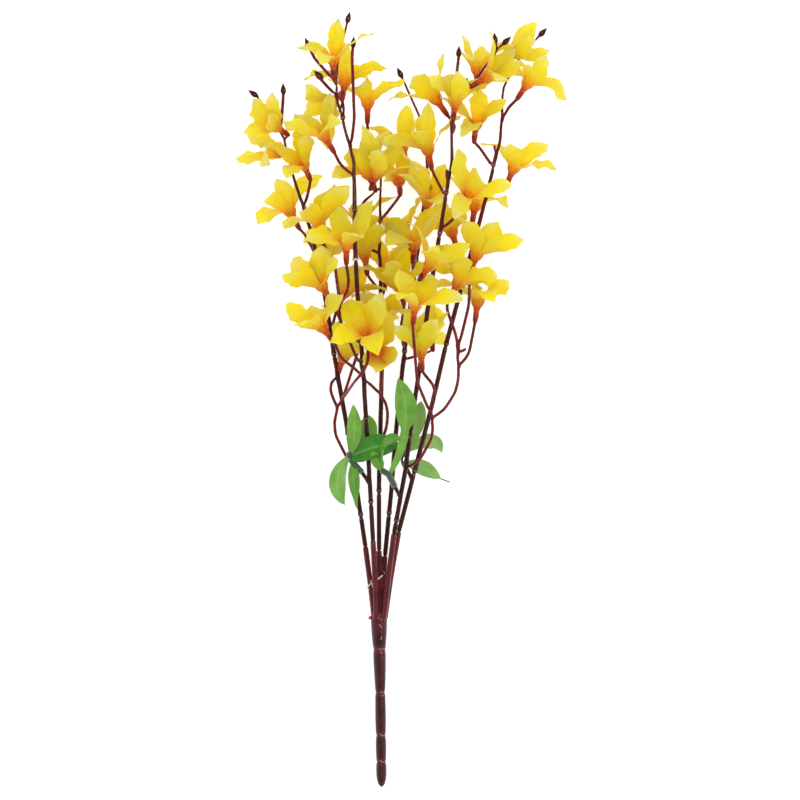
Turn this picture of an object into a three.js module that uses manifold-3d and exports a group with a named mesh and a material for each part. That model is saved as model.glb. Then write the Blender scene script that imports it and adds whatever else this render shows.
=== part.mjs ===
// An artificial forsythia bunch, lying on its side on a flat surface. A moulded handle ends in six hollow
// fingers, and a moulded stem plugs into each. The stems fork into twigs that end in pointed buds or in
// flared sockets, and a pressed-cloth floret with four petals sits on each socket. Short pegs low on the
// stems carry sprigs of cloth leaves.
//
// Millimetres, +Z up. +Y runs from the handle's foot to the flowers, +X to the right seen from above. The
// origin is under the middle of the whole bunch, on the surface.

import * as THREE from "three";
import { mergeVertices } from "three/addons/utils/BufferGeometryUtils.js";
import Module from "manifold-3d";

const wasm = await Module();
wasm.setup();

// ---------------------------------------------------------------- driving dimensions

const BUNCH_LENGTH = 558; // from the handle's foot to the topmost bud

// Places are read off a squared drawing of the bunch seen from above: columns to the right, rows downwards.
const AXIS_COLUMN = 381;
const FOOT_ROW = 787;
const TOP_ROW = 12;
const SQUARE = BUNCH_LENGTH / (FOOT_ROW - TOP_ROW);

const GAP = 0.3; // clearance between pieces that sit on or in each other
const CLEAR = 0.35; // least distance between pieces that pass each other
const SEAT = 0.24; // least distance between a floret and the twig that it sits on
const LOWEST = 0.6; // height of anything that isn't meant to touch the surface
const EDGE = 0.1; // length of the sharp step where a stem's bare core starts

const FINGER_RADIUS = 2.2;
const FINGER_SIDES = 6;
const CORE_RADIUS = 1; // the stem's bare end, inside its finger
const CORE_LENGTH = 11;
const STEM_FOOT_RADIUS = 1.85;
const STEM_TIP_RADIUS = 0.9;
const STEM_SIDES = 6;

const TWIG_RADIUS = 1;
const TWIG_SIDES = 5;
const BEND = 0.3; // how far a stem or twig turns between two rings of points, in radians
const BEND_STRIDE = 1.5;
const LONGEST_PIECE = 45; // of a straight stretch
const SOCKET_LENGTH = 9.5; // the flared end that a floret sits on
const SOCKET_RADIUS = 2.1;
const BUD_LENGTH = 8.5;
const BUD_RADIUS = 2;
const BARE_END = 3; // the straight end of a twig without a floret

const CLOTH = 0.7; // thickness of petals and leaves
const PETALS = 4;
const PETAL_LENGTH = 29; // from the cup's rim to the tip
const PETAL_WIDTH = 14;
const CUP_FOOT_RADIUS = 1.7;
const CUP_RIM_RADIUS = 5;
const CUP_DEPTH = 7.5;
const NOTCH_DEPTH = 0.7; // how far the cup's rim dips between two petals
const NOTCH_SHARE = 0.92; // the rim's radius there, as a share of its radius under a petal
const PISTIL_HEIGHT = 7.5;

// A point of the drawing, with its height above the surface.
const at = ([column, row, height]) =>
  new THREE.Vector3((column - AXIS_COLUMN) * SQUARE, (FOOT_ROW - row) * SQUARE, height);

// ---------------------------------------------------------------- solids and curves

// A seeded draw, so that every build bends the same petals the same way.
function seeded(seed) {
  let state = (seed * 2654435761) >>> 0;
  return (low, high) => {
    state = (Math.imul(state, 1664525) + 1013904223) >>> 0;
    return low + ((high - low) * state) / 4294967296;
  };
}

function solidOf(geometry) {
  const bare = geometry.clone();
  bare.deleteAttribute("normal");
  bare.deleteAttribute("uv");
  const merged = mergeVertices(bare, 1e-4);
  const vertProperties = merged.attributes.position.array;
  const triVerts = new Uint32Array(merged.index.array);
  return new wasm.Manifold(new wasm.Mesh({ numProp: 3, vertProperties, triVerts }));
}

function geometryOf(solid) {
  const mesh = solid.getMesh();
  const geometry = new THREE.BufferGeometry();
  geometry.setAttribute("position", new THREE.BufferAttribute(mesh.vertProperties, 3));
  geometry.setIndex(new THREE.BufferAttribute(mesh.triVerts, 1));
  geometry.computeVertexNormals();
  return geometry;
}

const joined = (solids) => solids.reduce((whole, next) => whole.add(next));

const lowestOf = (solid) => solid.boundingBox().min[2];

// Whether two solids keep a distance from each other. Boxes that are far apart settle most pairs.
function apart(a, b, distance) {
  const boxA = a.boundingBox();
  const boxB = b.boundingBox();
  for (let i = 0; i < 3; i++) {
    if (boxA.min[i] > boxB.max[i] + distance || boxB.min[i] > boxA.max[i] + distance) return true;
  }
  return a.minGap(b, distance) >= distance;
}

const curveThrough = (points) => new THREE.CatmullRomCurve3(points, false, "centripetal");

// How far along a curve the point lies that is nearest to a place on the drawing.
function distanceAt(curve, [column, row]) {
  const steps = 300;
  const place = at([column, row, 0]);
  const away = curve.getSpacedPoints(steps).map((p) => Math.hypot(p.x - place.x, p.y - place.y));
  return (away.indexOf(Math.min(...away)) / steps) * curve.getLength();
}

// The centres of a bar's rings, and the point on the line through them that is nearest to a place.
const spineOf = (curve, stations) =>
  stations.map(([distance]) => curve.getPointAt(Math.min(1, distance / curve.getLength())));
function nearestOn(spine, [column, row]) {
  const place = at([column, row, 0]);
  let best = { away: Infinity };
  for (let i = 1; i < spine.length; i++) {
    const flat = new THREE.Line3(spine[i - 1].clone().setZ(0), spine[i].clone().setZ(0));
    const share = flat.closestPointToPointParameter(place, true);
    const away = flat.at(share, new THREE.Vector3()).distanceTo(place);
    if (away < best.away) best = { away, point: spine[i - 1].clone().lerp(spine[i], share) };
  }
  return best.point;
}

// A closed round bar along a curve. Each station is [distance along the curve, radius].
function bar(curve, stations, sides) {
  const length = curve.getLength();
  const geometry = new THREE.CylinderGeometry(1, 1, 1, sides, stations.length - 1);
  let side = new THREE.Vector3(0.3, 0.1, 1);
  const rings = stations.map(([distance, radius]) => {
    const share = THREE.MathUtils.clamp(distance / length, 0, 1);
    const along = curve.getTangentAt(share);
    side = side.clone().addScaledVector(along, -side.dot(along)).normalize();
    return { centre: curve.getPointAt(share), side, up: side.clone().cross(along), radius };
  });
  const position = geometry.attributes.position;
  for (let i = 0; i < position.count; i++) {
    const ring = rings[Math.round((position.getY(i) + 0.5) * (stations.length - 1))];
    const point = ring.centre
      .clone()
      .addScaledVector(ring.side, position.getX(i) * ring.radius)
      .addScaledVector(ring.up, position.getZ(i) * ring.radius);
    position.setXYZ(i, point.x, point.y, point.z);
  }
  return solidOf(geometry);
}

// Evenly spaced stations from one distance to another, with the radius given by a formula.
function stationsBetween(from, to, step, radiusAt) {
  const pieces = Math.max(1, Math.round((to - from) / step));
  return Array.from({ length: pieces + 1 }, (_, i) => {
    const distance = from + ((to - from) * i) / pieces;
    return [distance, radiusAt(distance)];
  });
}

// Stations wherever the curve has turned by as much as a straight piece may leave out.
function stationsAlong(curve, from, to, radiusAt) {
  const length = curve.getLength();
  const distances = [from];
  let last = curve.getTangentAt(Math.max(0, from / length));
  for (let distance = from + BEND_STRIDE; distance < to - 2 * BEND_STRIDE; distance += BEND_STRIDE) {
    const along = curve.getTangentAt(Math.min(1, distance / length));
    if (along.angleTo(last) > BEND || distance - distances.at(-1) > LONGEST_PIECE) {
      distances.push(distance);
      last = along;
    }
  }
  return [...distances, to].map((distance) => [distance, radiusAt(distance)]);
}

// The two ends that a stem or twig can have, as [share of the end's length, share of its radius].
const BUD_SHAPE = [[0.05, 0.45], [0.35, 1], [1, 0.06]];
const SOCKET_SHAPE = [[0.05, 0.45], [0.5, 0.92], [1, 0.9]];
const endStations = (shape, distance, length, radius) =>
  shape.map(([share, width]) => [distance + length * share, radius * width]);

// A sheet of cloth with thickness. Points come with the direction from the outer face to the inner one.
class Cloth {
  constructor() {
    this.outer = [];
    this.inner = [];
    this.faces = [];
  }

  add(centre, inward) {
    this.outer.push(centre.clone().addScaledVector(inward, -CLOTH / 2));
    this.inner.push(centre.clone().addScaledVector(inward, CLOTH / 2));
    return this.outer.length - 1;
  }

  // Faces between two rows of three points that run from left to right, seen from outside.
  strip([a, b, c], [d, e, f]) {
    this.faces.push([a, b, d], [b, e, d], [b, c, f], [b, f, e]);
  }

  // Both faces, and the wall along the free outline.
  triangles(outline) {
    const inner = this.outer.length;
    const triangles = this.faces.flatMap(([a, b, c]) => [a, b, c, a + inner, c + inner, b + inner]);
    outline.forEach((a, i) => {
      const b = outline[(i + 1) % outline.length];
      triangles.push(a, b, b + inner, a, b + inner, a + inner);
    });
    return triangles;
  }
}

function clothSolid(points, triangles) {
  const geometry = new THREE.BufferGeometry();
  const position = points.flatMap((p) => p.toArray());
  geometry.setAttribute("position", new THREE.Float32BufferAttribute(position, 3));
  geometry.setIndex(triangles);
  return solidOf(geometry);
}

// ---------------------------------------------------------------- main stems

// Each route starts inside the handle's top and ends at the stem's tip. fingerRow is where its finger ends.
const STEM_ROUTES = {
  stem_1: {
    fingerRow: 548,
    points: [
      [374.5, 622, 17.5], [371, 590, 21], [365.5, 548, 26], [359, 505, 31], [351, 450, 36], [342, 400, 40],
      [334, 355, 43], [327, 310, 45], [319, 262, 46], [305, 212, 48], [293, 178, 52], [289, 152, 56],
      [280, 131, 58], [268, 110, 58], [257, 96, 58], [248, 90, 58],
    ],
  },
  stem_2: {
    fingerRow: 541,
    points: [
      [376.5, 622, 21.5], [375.5, 590, 27.5], [373, 541, 36], [371, 505, 43], [368.5, 460, 52],
      [365.5, 410, 61], [362.5, 360, 68], [358.5, 310, 74], [355.5, 260, 79], [354, 225, 80],
      [351, 200, 80], [354.5, 165, 79], [349, 142, 78], [341, 120, 77], [336.5, 96, 77], [336, 74, 77],
      [341, 48, 78], [350, 12, 80],
    ],
  },
  stem_3: {
    fingerRow: 551,
    points: [
      [379, 622, 16], [379, 590, 18.5], [379, 551, 22], [378.5, 505, 25], [380, 450, 28], [381, 400, 32],
      [382, 350, 37], [381, 300, 42], [381, 250, 47], [379, 222, 50], [381, 190, 52], [382, 172, 53],
      [377, 152, 54], [369, 140, 55],
    ],
  },
  stem_4: {
    fingerRow: 556,
    points: [
      [382, 622, 18], [383, 590, 18.5], [385, 556, 19], [389.5, 510, 19], [394, 460, 20], [397, 420, 21],
      [401, 380, 23], [406, 340, 25], [411, 300, 27], [415, 265, 29], [420, 235, 31], [425, 200, 33],
      [428, 165, 35], [425, 130, 37], [415, 104, 38], [397, 67, 39],
    ],
  },
  stem_5: {
    fingerRow: 534,
    points: [
      [383.5, 622, 22], [387, 590, 28], [394, 534, 38], [400, 500, 44], [407, 460, 52], [412, 420, 59],
      [417, 380, 66], [424, 340, 72], [429, 300, 78], [434, 265, 83], [440, 235, 86], [443, 208, 87],
      [448, 190, 88], [452, 165, 88], [450, 140, 87], [451, 118, 87], [464, 96, 88], [480, 75, 90],
      [496, 52, 91], [511, 37, 92],
    ],
  },
  stem_6: {
    fingerRow: 533,
    points: [
      [384.5, 622, 18], [389, 590, 21.5], [398.5, 533, 28], [406, 505, 31], [415, 470, 34], [424, 435, 37],
      [436, 390, 40], [446, 345, 43], [456, 308, 46], [465, 275, 48], [475, 245, 50], [481, 215, 52],
      [487, 195, 54], [493, 168, 56], [500, 145, 58], [499, 120, 60], [499, 103, 61], [505, 83, 62],
      [515, 64, 63], [528, 48, 64], [547, 28, 65],
    ],
  },
};

const stems = Object.entries(STEM_ROUTES).map(([name, { fingerRow, points }]) => {
  const curve = curveThrough(points.map(at));
  const finger = points.find(([, row]) => row === fingerRow);
  return { name, curve, length: curve.getLength(), start: distanceAt(curve, finger), parts: [] };
});

for (const stem of stems) {
  const { curve, length, start, parts } = stem;
  const end = length - BUD_LENGTH;
  const radiusAt = (distance) => {
    const share = THREE.MathUtils.smoothstep(distance, start + 0.45 * (length - start), end);
    return THREE.MathUtils.lerp(STEM_FOOT_RADIUS, STEM_TIP_RADIUS, share);
  };
  const core = [[start - CORE_LENGTH, CORE_RADIUS], [start + GAP, CORE_RADIUS]];
  const [foot, ...body] = stationsAlong(curve, start, end, radiusAt);
  const bud = endStations(BUD_SHAPE, end, BUD_LENGTH, BUD_RADIUS);
  const shoulder = [start + GAP + EDGE, STEM_FOOT_RADIUS];
  parts.push(bar(curve, [...core, shoulder, ...body, ...bud], STEM_SIDES));
  stem.spine = spineOf(curve, [foot, ...body]);
}

const stemNamed = (name) => stems.find((stem) => stem.name === name);

// ---------------------------------------------------------------- handle

// [row, radius] down the moulded handle, with a groove at each ring of the mould.
const HANDLE_PROFILE = [
  [787.4, 0.8], [787, 1.9], [783, 3.1], [776, 3.6], [766, 3.6], [763, 2.9], [760, 3.5],
  [739, 3.7], [736, 3.1], [733, 3.7], [697, 3.8], [693, 3.1], [689, 3.6], [668, 4.2],
  [653, 4.7], [650, 4.1], [647, 4.6], [634, 5.5], [621, 5.9], [613, 4.6],
];
const HANDLE_SIDES = 8;
const PAST = 2; // how far a cut runs past the face that it opens, and a finger starts inside the rod
const HANDLE_LINE = [
  [381.5, 790, 3.1], [381.2, 765, 3.3], [380.6, 720, 8], [380, 680, 12.4], [379.2, 640, 16.5],
  [378.8, 611, 19.4],
];
const handleCurve = curveThrough(HANDLE_LINE.map(at));

function handleSolid() {
  const rod = bar(
    handleCurve,
    HANDLE_PROFILE.map(([row, radius]) => [distanceAt(handleCurve, [380, row]), radius]),
    HANDLE_SIDES,
  );
  const fingers = stems.map(({ curve, start }) =>
    bar(curve, [[PAST, FINGER_RADIUS], [start / 2, FINGER_RADIUS], [start, FINGER_RADIUS]], FINGER_SIDES));
  const bores = stems.map(({ curve, start }) => {
    const stations = [[start - CORE_LENGTH - GAP, CORE_RADIUS + GAP], [start + PAST, CORE_RADIUS + GAP]];
    return bar(curve, stations, FINGER_SIDES);
  });
  return joined([rod, ...fingers]).subtract(joined(bores)).trimByPlane([0, 0, 1], 0);
}

// ---------------------------------------------------------------- leaf sprigs

// [share of a leaf's length, share of its width]. One leaf has a long narrow neck.
const LEAF_ROWS = [[0, 0.16], [0.28, 0.78], [0.58, 1], [0.84, 0.62]];
const SPOON_ROWS = [[0, 0.16], [0.46, 0.3], [0.73, 1], [0.89, 0.62]];

// Each sprig's sleeve slips over a peg on a stem. A leaf has its root, its tip, the way its upper face looks
// (right, up the drawing, upwards), its width and how far its middle bows out that way. rows give its outline
// where it isn't the usual one.
const SPRIGS = [
  {
    stem: "stem_2",
    peg: [[369, 484], [367, 479, 50], [364, 475, 52], [358, 468, 55]],
    sleeve: [[362, 472.5, 53], [356, 466, 56], [350, 459, 58], [349, 452, 60]],
    leaves: [
      { root: [350, 455], tip: [345, 505, 58], side: [-11, -2], face: [0.1, 0.2, 0.9], width: 12, bow: 4 },
      { root: [352, 462], tip: [357, 509, 49], side: [-2, 0], face: [0.3, 0.1, 0.9], width: 8, bow: 2 },
      { root: [350, 455], tip: [353, 404, 66], side: [4, -2], face: [-0.2, 0, 0.9], width: 11, bow: 3 },
      { root: [352, 456], tip: [377, 420, 45], side: [-4, 4], face: [0.2, 0, 0.9], width: 12, bow: 1 },
      { root: [351, 456], tip: [391, 446, 32], side: [0, 0], face: [0, 0.2, 0.9], width: 16, bow: 0 },
    ],
  },
  {
    stem: "stem_5",
    peg: [[401, 498], [399.5, 494, 48], [396, 489, 51], [392, 482, 54]],
    sleeve: [[395, 487, 52], [392, 481, 54], [388, 474, 56], [381, 470, 57]],
    leaves: [
      { root: [389, 475], tip: [398, 378, 74], side: [9.5, 0], face: [0.25, 0, 0.9], width: 16, bow: 6,
        rows: SPOON_ROWS },
      { root: [383, 470], tip: [371, 452, 64], side: [0, 0], face: [0, 0.3, 0.9], width: 9, bow: 2 },
      { root: [384, 470], tip: [402, 440, 65], side: [3, 5], face: [-0.7, 0.5, 0.5], width: 11, bow: 4 },
    ],
  },
  {
    stem: "stem_6",
    peg: [[413, 480], [411, 475, 30], [408, 471, 28], [405, 465, 26]],
    sleeve: [[407, 469, 27], [404, 463, 25.5], [403, 457, 25], [405, 450, 24.5]],
    leaves: [
      { root: [404, 463], tip: [441, 479, 22], side: [0, 6], face: [0, 0.2, 0.9], width: 11, bow: 2 },
      { root: [404, 452], tip: [421, 401, 28], side: [4, 3], face: [-0.1, 0, 0.9], width: 12, bow: 3 },
      { root: [404, 453], tip: [442, 453, 20], side: [6, 13], face: [0, -0.2, 0.9], width: 11, bow: 2 },
    ],
  },
];
const PEG_RADIUS = 0.8;
const PEG_STEP = 7;
const PEG_ROOM = 0.6; // how much deeper the bore is than the peg
const BORE_RADIUS = PEG_RADIUS + GAP + EDGE;
const SLEEVE_RADIUS = 1.7;
const SLEEVE_STEP = 8;
const LEAF_FOLD = 0.12; // how far the edges stand up over the midrib, as a share of the width

function leafSolid(from, { tip, side, face, width, bow, rows: outlineRows = LEAF_ROWS }) {
  const to = at(tip);
  const upper = new THREE.Vector3(...face).normalize();
  const middle = from.clone().add(to).multiplyScalar(0.5).addScaledVector(upper, 2 * bow);
  middle.x += 2 * side[0] * SQUARE;
  middle.y += 2 * side[1] * SQUARE;
  const rib = new THREE.QuadraticBezierCurve3(from, middle, to);
  const cloth = new Cloth();
  const rows = outlineRows.map(([share, part]) => {
    const along = rib.getTangent(share);
    const aside = along.clone().cross(upper).normalize();
    const inward = aside.clone().cross(along).normalize();
    const centre = rib.getPoint(share);
    const edge = (way) =>
      cloth.add(centre.clone().addScaledVector(aside, (way * width * part) / 2)
        .addScaledVector(inward, LEAF_FOLD * width * part), inward);
    return [edge(1), cloth.add(centre, inward), edge(-1)];
  });
  const last = cloth.add(to, upper);
  for (let i = 1; i < rows.length; i++) cloth.strip(rows[i - 1], rows[i]);
  const [left, centre, right] = rows.at(-1);
  cloth.faces.push([left, centre, last], [centre, right, last]);
  const outline = [rows[0][1], ...rows.map((row) => row[0]), last, ...rows.map((row) => row[2]).reverse()];
  return clothSolid([...cloth.outer, ...cloth.inner], cloth.triangles(outline));
}

// ---------------------------------------------------------------- florets and what carries them

// Side branches low on the stems: the stem, the places they pass, and their height at the end.
const BRANCHES = {
  branch_a: {
    on: "stem_1", height: 52,
    places: [[354, 472], [344, 456], [336, 438], [334, 424], [337, 409], [343, 398]],
  },
  branch_b: {
    on: "stem_2", height: 60,
    places: [[369, 455], [379, 444], [386, 430], [388, 415], [386, 403], [380, 394]],
  },
  branch_c: {
    on: "stem_2", height: 76,
    places: [[362, 374], [357, 361], [350, 346], [343, 331], [340, 318], [340, 301]],
  },
  branch_d: {
    on: "stem_5", height: 72,
    places: [[408, 470], [417, 463], [425, 452], [432, 437], [433, 425], [430, 413]],
  },
  branch_e: {
    on: "branch_d", height: 68,
    places: [[431, 419], [441, 413], [450, 402], [457, 388], [459, 370], [457, 354]],
  },
};

// One line for each floret: what it grows on and where, the places its twig passes, the foot of its cup, the
// way it faces (right, up the drawing, upwards), and the tips of the petals that show from above. A number
// after a tip is how far that petal's face is turned upwards, where it isn't WIDE.
const FLORETS = [
  { on: "stem_5", root: [441, 232], via: [[452, 219]], foot: [465, 202, 94],
    faces: [0.3, 0.85, 0.2], tips: [[457, 149], [451, 224], [508, 183], [476, 178]] },
  { on: "stem_5", root: [446, 198], via: [[439, 184]], foot: [430, 158, 78],
    faces: [-0.2, 0.9, 0.25], tips: [[379, 143], [428, 101], [417, 131]] },
  { on: "stem_5", root: [450, 140], foot: [454, 110, 98],
    faces: [0.1, 0.9, 0.25], tips: [[430, 78], [458, 71], [444, 74]] },
  { on: "stem_5", root: [450, 136], via: [[444, 126]], foot: [437, 108, 74],
    faces: [-0.35, 0.8, 0.2], tips: [[411, 77], [440, 76]] },
  { on: "stem_5", root: [464, 96], foot: [478, 84, 98],
    faces: [0.7, 0.65, 0.15], tips: [[518, 62], [516, 50], [497, 80]] },
  { on: "stem_5", root: [470, 89], foot: [477, 77, 76],
    faces: [0, 0.85, -0.1], tips: [[463, 36, 0], [467, 60, 0.3], [487, 48]] },
  { on: "stem_5", root: [490, 60], foot: [502, 58, 80],
    faces: [0.75, 0.6, 0], tips: [[529, 23], [541, 54], [521, 45, 0], [519, 46, 0]] },
  { on: "stem_5", root: [431, 290], foot: [425, 272, 96],
    faces: [0.5, 0.75, 0.2], tips: [[470, 243], [446, 258], [428, 250]] },
  { on: "branch_d", root: [430, 413], via: [[423, 401], [418, 386], [415, 368], [413, 345]],
    foot: [413, 313, 100], faces: [0.1, 0.85, 0.4], tips: [[393, 273], [463, 299], [436, 279]] },
  { on: "branch_d", root: [431, 415], via: [[435, 401], [434, 386]], foot: [421, 361, 86],
    faces: [-0.1, 0.85, 0.3], tips: [[391, 336], [404, 312], [439, 327]] },
  { on: "branch_e", root: [457, 354], via: [[457, 338], [449, 322]], foot: [450, 289, 76],
    faces: [0.3, 0.85, 0.1], tips: [[498, 275], [457, 252], [430, 258]] },
  { on: "branch_e", root: [457, 354], via: [[459, 325], [463, 297]], foot: [474, 262, 72],
    faces: [0.3, 0.85, 0.1], tips: [[525, 240], [499, 221], [466, 222]] },
  { on: "branch_e", root: [458, 368], via: [[468, 356], [472, 342]], foot: [473, 312, 62],
    faces: [0.1, 0.95, 0.15], tips: [[506, 287], [492, 303], [461, 290]] },
  { on: "stem_2", root: [336, 86], foot: [334, 67, 94],
    faces: [0, 0.95, 0.2], tips: [[337, 19], [298, 48, 0.4], [376, 34, 0], [321, 62]] },
  { on: "stem_2", root: [346, 125], via: [[345, 112]], foot: [347, 91, 88],
    faces: [0.1, 0.9, 0.2], tips: [[381, 66], [344, 50], [309, 73, 0]] },
  { on: "stem_2", root: [339, 112], foot: [337, 97, 62],
    faces: [-0.6, -0.3, 0.1], tips: [[308, 109], [318, 92], [330, 112]] },
  { on: "stem_2", root: [353, 177], via: [[341, 166]], foot: [328, 143, 84],
    faces: [-0.35, 0.8, 0.2], tips: [[283, 117], [331, 99], [342, 125]] },
  { on: "stem_2", root: [351, 218], via: [[362, 203]], foot: [369, 181, 66],
    faces: [-0.3, 0.85, 0.2], tips: [[335, 178], [346, 148], [360, 142]] },
  { on: "branch_c", root: [340, 301], via: [[347, 293], [349, 278]], foot: [346, 253, 90],
    faces: [0, 0.9, 0.3], tips: [[336, 209], [373, 197, 0.4], [306, 240]] },
  { on: "branch_c", root: [340, 305], via: [[337, 285], [335, 262]], foot: [321, 233, 70],
    faces: [-0.2, 0.85, 0.2], tips: [[285, 233, 0.4], [309, 208], [337, 180, 0.2], [349, 185]] },
  { on: "branch_c", root: [342, 326], via: [[336, 314]], foot: [326, 292, 74],
    faces: [-0.45, 0.75, 0.3], tips: [[283, 277], [293, 257], [323, 246], [340, 262]] },
  { on: "branch_b", root: [380, 394], via: [[368, 380], [356, 369], [342, 360]], foot: [327, 333, 82],
    faces: [-0.35, 0.8, 0.3], tips: [[288, 302], [300, 327, 0], [339, 301], [318, 312]] },
  { on: "branch_b", root: [381, 394], via: [[381, 384], [383, 372]], foot: [375, 354, 50],
    faces: [0, 0.45, 0.85], tips: [[377, 368], [397, 360], [364, 362]] },
  { on: "stem_6", root: [493, 168], via: [[481, 148]], foot: [475, 131, 66],
    faces: [0.1, 0.9, 0.2], tips: [[461, 137], [478, 87], [504, 100, 0.4]] },
  { on: "stem_6", root: [500, 123], via: [[507, 109]], foot: [521, 92, 68],
    faces: [0.45, 0.75, 0.2], tips: [[541, 51], [566, 100, 0.3], [498, 77, 0.2], [516, 67, 0]] },
  { on: "stem_6", root: [487, 199], via: [[497, 190]], foot: [511, 175, 58],
    faces: [0.4, 0.8, 0.2], tips: [[547, 147], [556, 171, 0.4], [481, 140, 0.2], [503, 150]] },
  { on: "stem_6", root: [476, 244], foot: [474, 213, 24],
    faces: [0.15, 0.9, 0.1], tips: [[474, 169], [509, 205, 0.2]], rests: true },
  { on: "stem_6", root: [469, 264], foot: [455, 240, 30],
    faces: [-0.2, 0.9, -0.1], tips: [[440, 200], [466, 204]] },
  { on: "stem_1", root: [291, 165], foot: [287, 151, 46],
    faces: [-0.8, 0.3, 0.2], tips: [[234, 157], [265, 165], [252, 128], [280, 160]] },
  { on: "stem_1", root: [284, 140], foot: [280, 129, 66],
    faces: [-0.7, 0.5, 0.3], tips: [[274, 98], [253, 100], [251, 131], [266, 114]] },
  { on: "stem_1", root: [303, 210], via: [[307, 196]], foot: [304, 170, 54],
    faces: [-0.15, 0.9, 0.2], tips: [[286, 123], [286, 175], [307, 134]] },
  { on: "stem_1", root: [318, 256], via: [[307, 236]], foot: [293, 218, 26],
    faces: [-0.2, 0.85, 0.2], tips: [[257, 225], [277, 180], [323, 176]], rests: true },
  { on: "stem_1", root: [322, 285], foot: [319, 263, 28],
    faces: [0, 0.95, 0], tips: [[318, 222], [334, 238], [304, 240]] },
  { on: "branch_a", root: [337, 409], via: [[331, 396], [331, 382]], foot: [341, 362, 48],
    faces: [0.15, 0.9, 0.1], tips: [[338, 338], [354, 342], [346, 328]] },
  { on: "branch_a", root: [343, 398], via: [[348, 386], [351, 374]], foot: [356, 342, 26],
    faces: [0.1, 0.9, -0.1], tips: [[346, 312], [366, 312]] },
  { on: "branch_a", root: [343, 398], via: [[352, 383], [360, 376], [368, 362]], foot: [366, 340, 84],
    faces: [-0.1, 0.65, 0.6], tips: [[333, 343], [345, 301], [381, 295], [375, 355]] },
  { on: "stem_3", root: [379, 162], via: [[368, 138]], foot: [367, 109, 62],
    faces: [0.1, 0.9, 0.2], tips: [[365, 82], [387, 88], [409, 91]] },
  { on: "stem_3", root: [381, 188], foot: [375, 177, 66],
    faces: [0, 0.85, 0.35], tips: [[360, 124], [399, 144], [376, 150]] },
  { on: "stem_3", root: [380, 222], via: [[393, 206]], foot: [400, 184, 42],
    faces: [0.1, 0.8, -0.3], tips: [[390, 172], [412, 164], [399, 156]] },
  { on: "stem_3", root: [381, 300], foot: [385, 275, 30],
    faces: [0, 0.9, -0.2], tips: [[366, 240], [405, 252]] },
  { on: "stem_3", root: [381, 292], via: [[372, 282]], foot: [366, 262, 60],
    faces: [-0.1, 0.9, 0.2], tips: [[368, 212], [381, 222]] },
  { on: "stem_3", root: [381, 368], via: [[380, 352]], foot: [378, 327, 58],
    faces: [0, 0.9, 0.2], tips: [[366, 290], [398, 300]] },
  { on: "stem_3", root: [380, 254], via: [[369, 244]], foot: [362, 230, 40],
    faces: [-0.1, 0.9, -0.1], tips: [[358, 208], [366, 202]] },
  { on: "stem_1", root: [330, 335], via: [[334, 322]], foot: [342, 298, 44],
    faces: [0.3, 0.9, -0.1], tips: [[350, 262], [362, 268]] },
  { on: "stem_4", root: [421, 232], foot: [426, 209, 52],
    faces: [0.1, 0.95, 0.1], tips: [[408, 162], [444, 165], [441, 204]] },
  { on: "stem_4", root: [412, 288], via: [[412, 275]], foot: [416, 247, 72],
    faces: [0, 0.9, 0.3], tips: [[380, 221], [385, 246], [446, 208, 0.5]] },
  { on: "stem_4", root: [427, 172], via: [[416, 172]], foot: [404, 154, 34],
    faces: [-0.2, 0.9, 0], tips: [[407, 106], [380, 142]] },
  { on: "stem_4", root: [419, 262], foot: [404, 240, 32],
    faces: [-0.1, 0.9, 0], tips: [[396, 226], [410, 222]] },
  { on: "stem_4", root: [404, 352], via: [[400, 335]], foot: [400, 292, 54],
    faces: [0, 0.9, 0.1], tips: [[392, 258], [410, 256]] },
  { on: "stem_4", root: [404, 360], via: [[416, 356]], foot: [428, 344, 28],
    faces: [0.1, 0.9, 0], tips: [[444, 335], [436, 312], [416, 316], [430, 322]] },
];

// Twigs that end in a bud: what they grow on and where, the places they pass, and the bud's point.
const BUD_TWIGS = [
  { on: "stem_2", root: [336, 84], via: [[325, 73], [315, 60]], point: [305, 38, 84] },
  { on: "stem_2", root: [337, 97], via: [[328, 89]], point: [314, 71, 84] },
  { on: "stem_2", root: [352, 150], via: [[355, 125], [351, 100], [351, 70]], point: [354, 37, 98] },
  { on: "stem_1", root: [281, 133], via: [[284, 108]], point: [283, 83, 62] },
  { on: "stem_5", root: [452, 120], via: [[457, 96], [458, 74]], point: [459, 46, 80] },
  { on: "stem_5", root: [497, 51], via: [[495, 46]], point: [494, 33, 94] },
];

// Short twigs that have lost their florets: what they grow on and where, a place they pass, and their end.
const BARE_TWIGS = [
  { on: "stem_5", root: [446, 194], via: [[447, 183]], point: [447, 170, 92] },
  { on: "stem_6", root: [493, 166], via: [[494, 157]], point: [495, 145, 60] },
  { on: "branch_e", root: [457, 353], via: [[460, 352]], point: [466, 349, 72] },
];

// A floret's own directions: its axis out of the cup, and two directions across it.
function floretFrame([right, up, upwards], nod, swing) {
  const axis = new THREE.Vector3(right, up, upwards).normalize();
  const across = new THREE.Vector3().crossVectors(new THREE.Vector3(0, 0, 1), axis).normalize();
  const over = new THREE.Vector3().crossVectors(axis, across);
  axis.applyAxisAngle(across, nod).applyAxisAngle(over, swing);
  across.addScaledVector(axis, -across.dot(axis)).normalize();
  over.crossVectors(axis, across);
  const outwards = (angle) =>
    across.clone().multiplyScalar(Math.cos(angle)).addScaledVector(over, Math.sin(angle));
  return { axis, outwards };
}

// A petal leans out of the cup and bends on evenly. open runs from 0, standing up, to about 1.2, curled back.
const CUP_LEAN = 0.55;
const petalLean = ({ open }, share) => THREE.MathUtils.lerp(0.3 + 0.5 * open, 0.35 + 1.6 * open, share);

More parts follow.
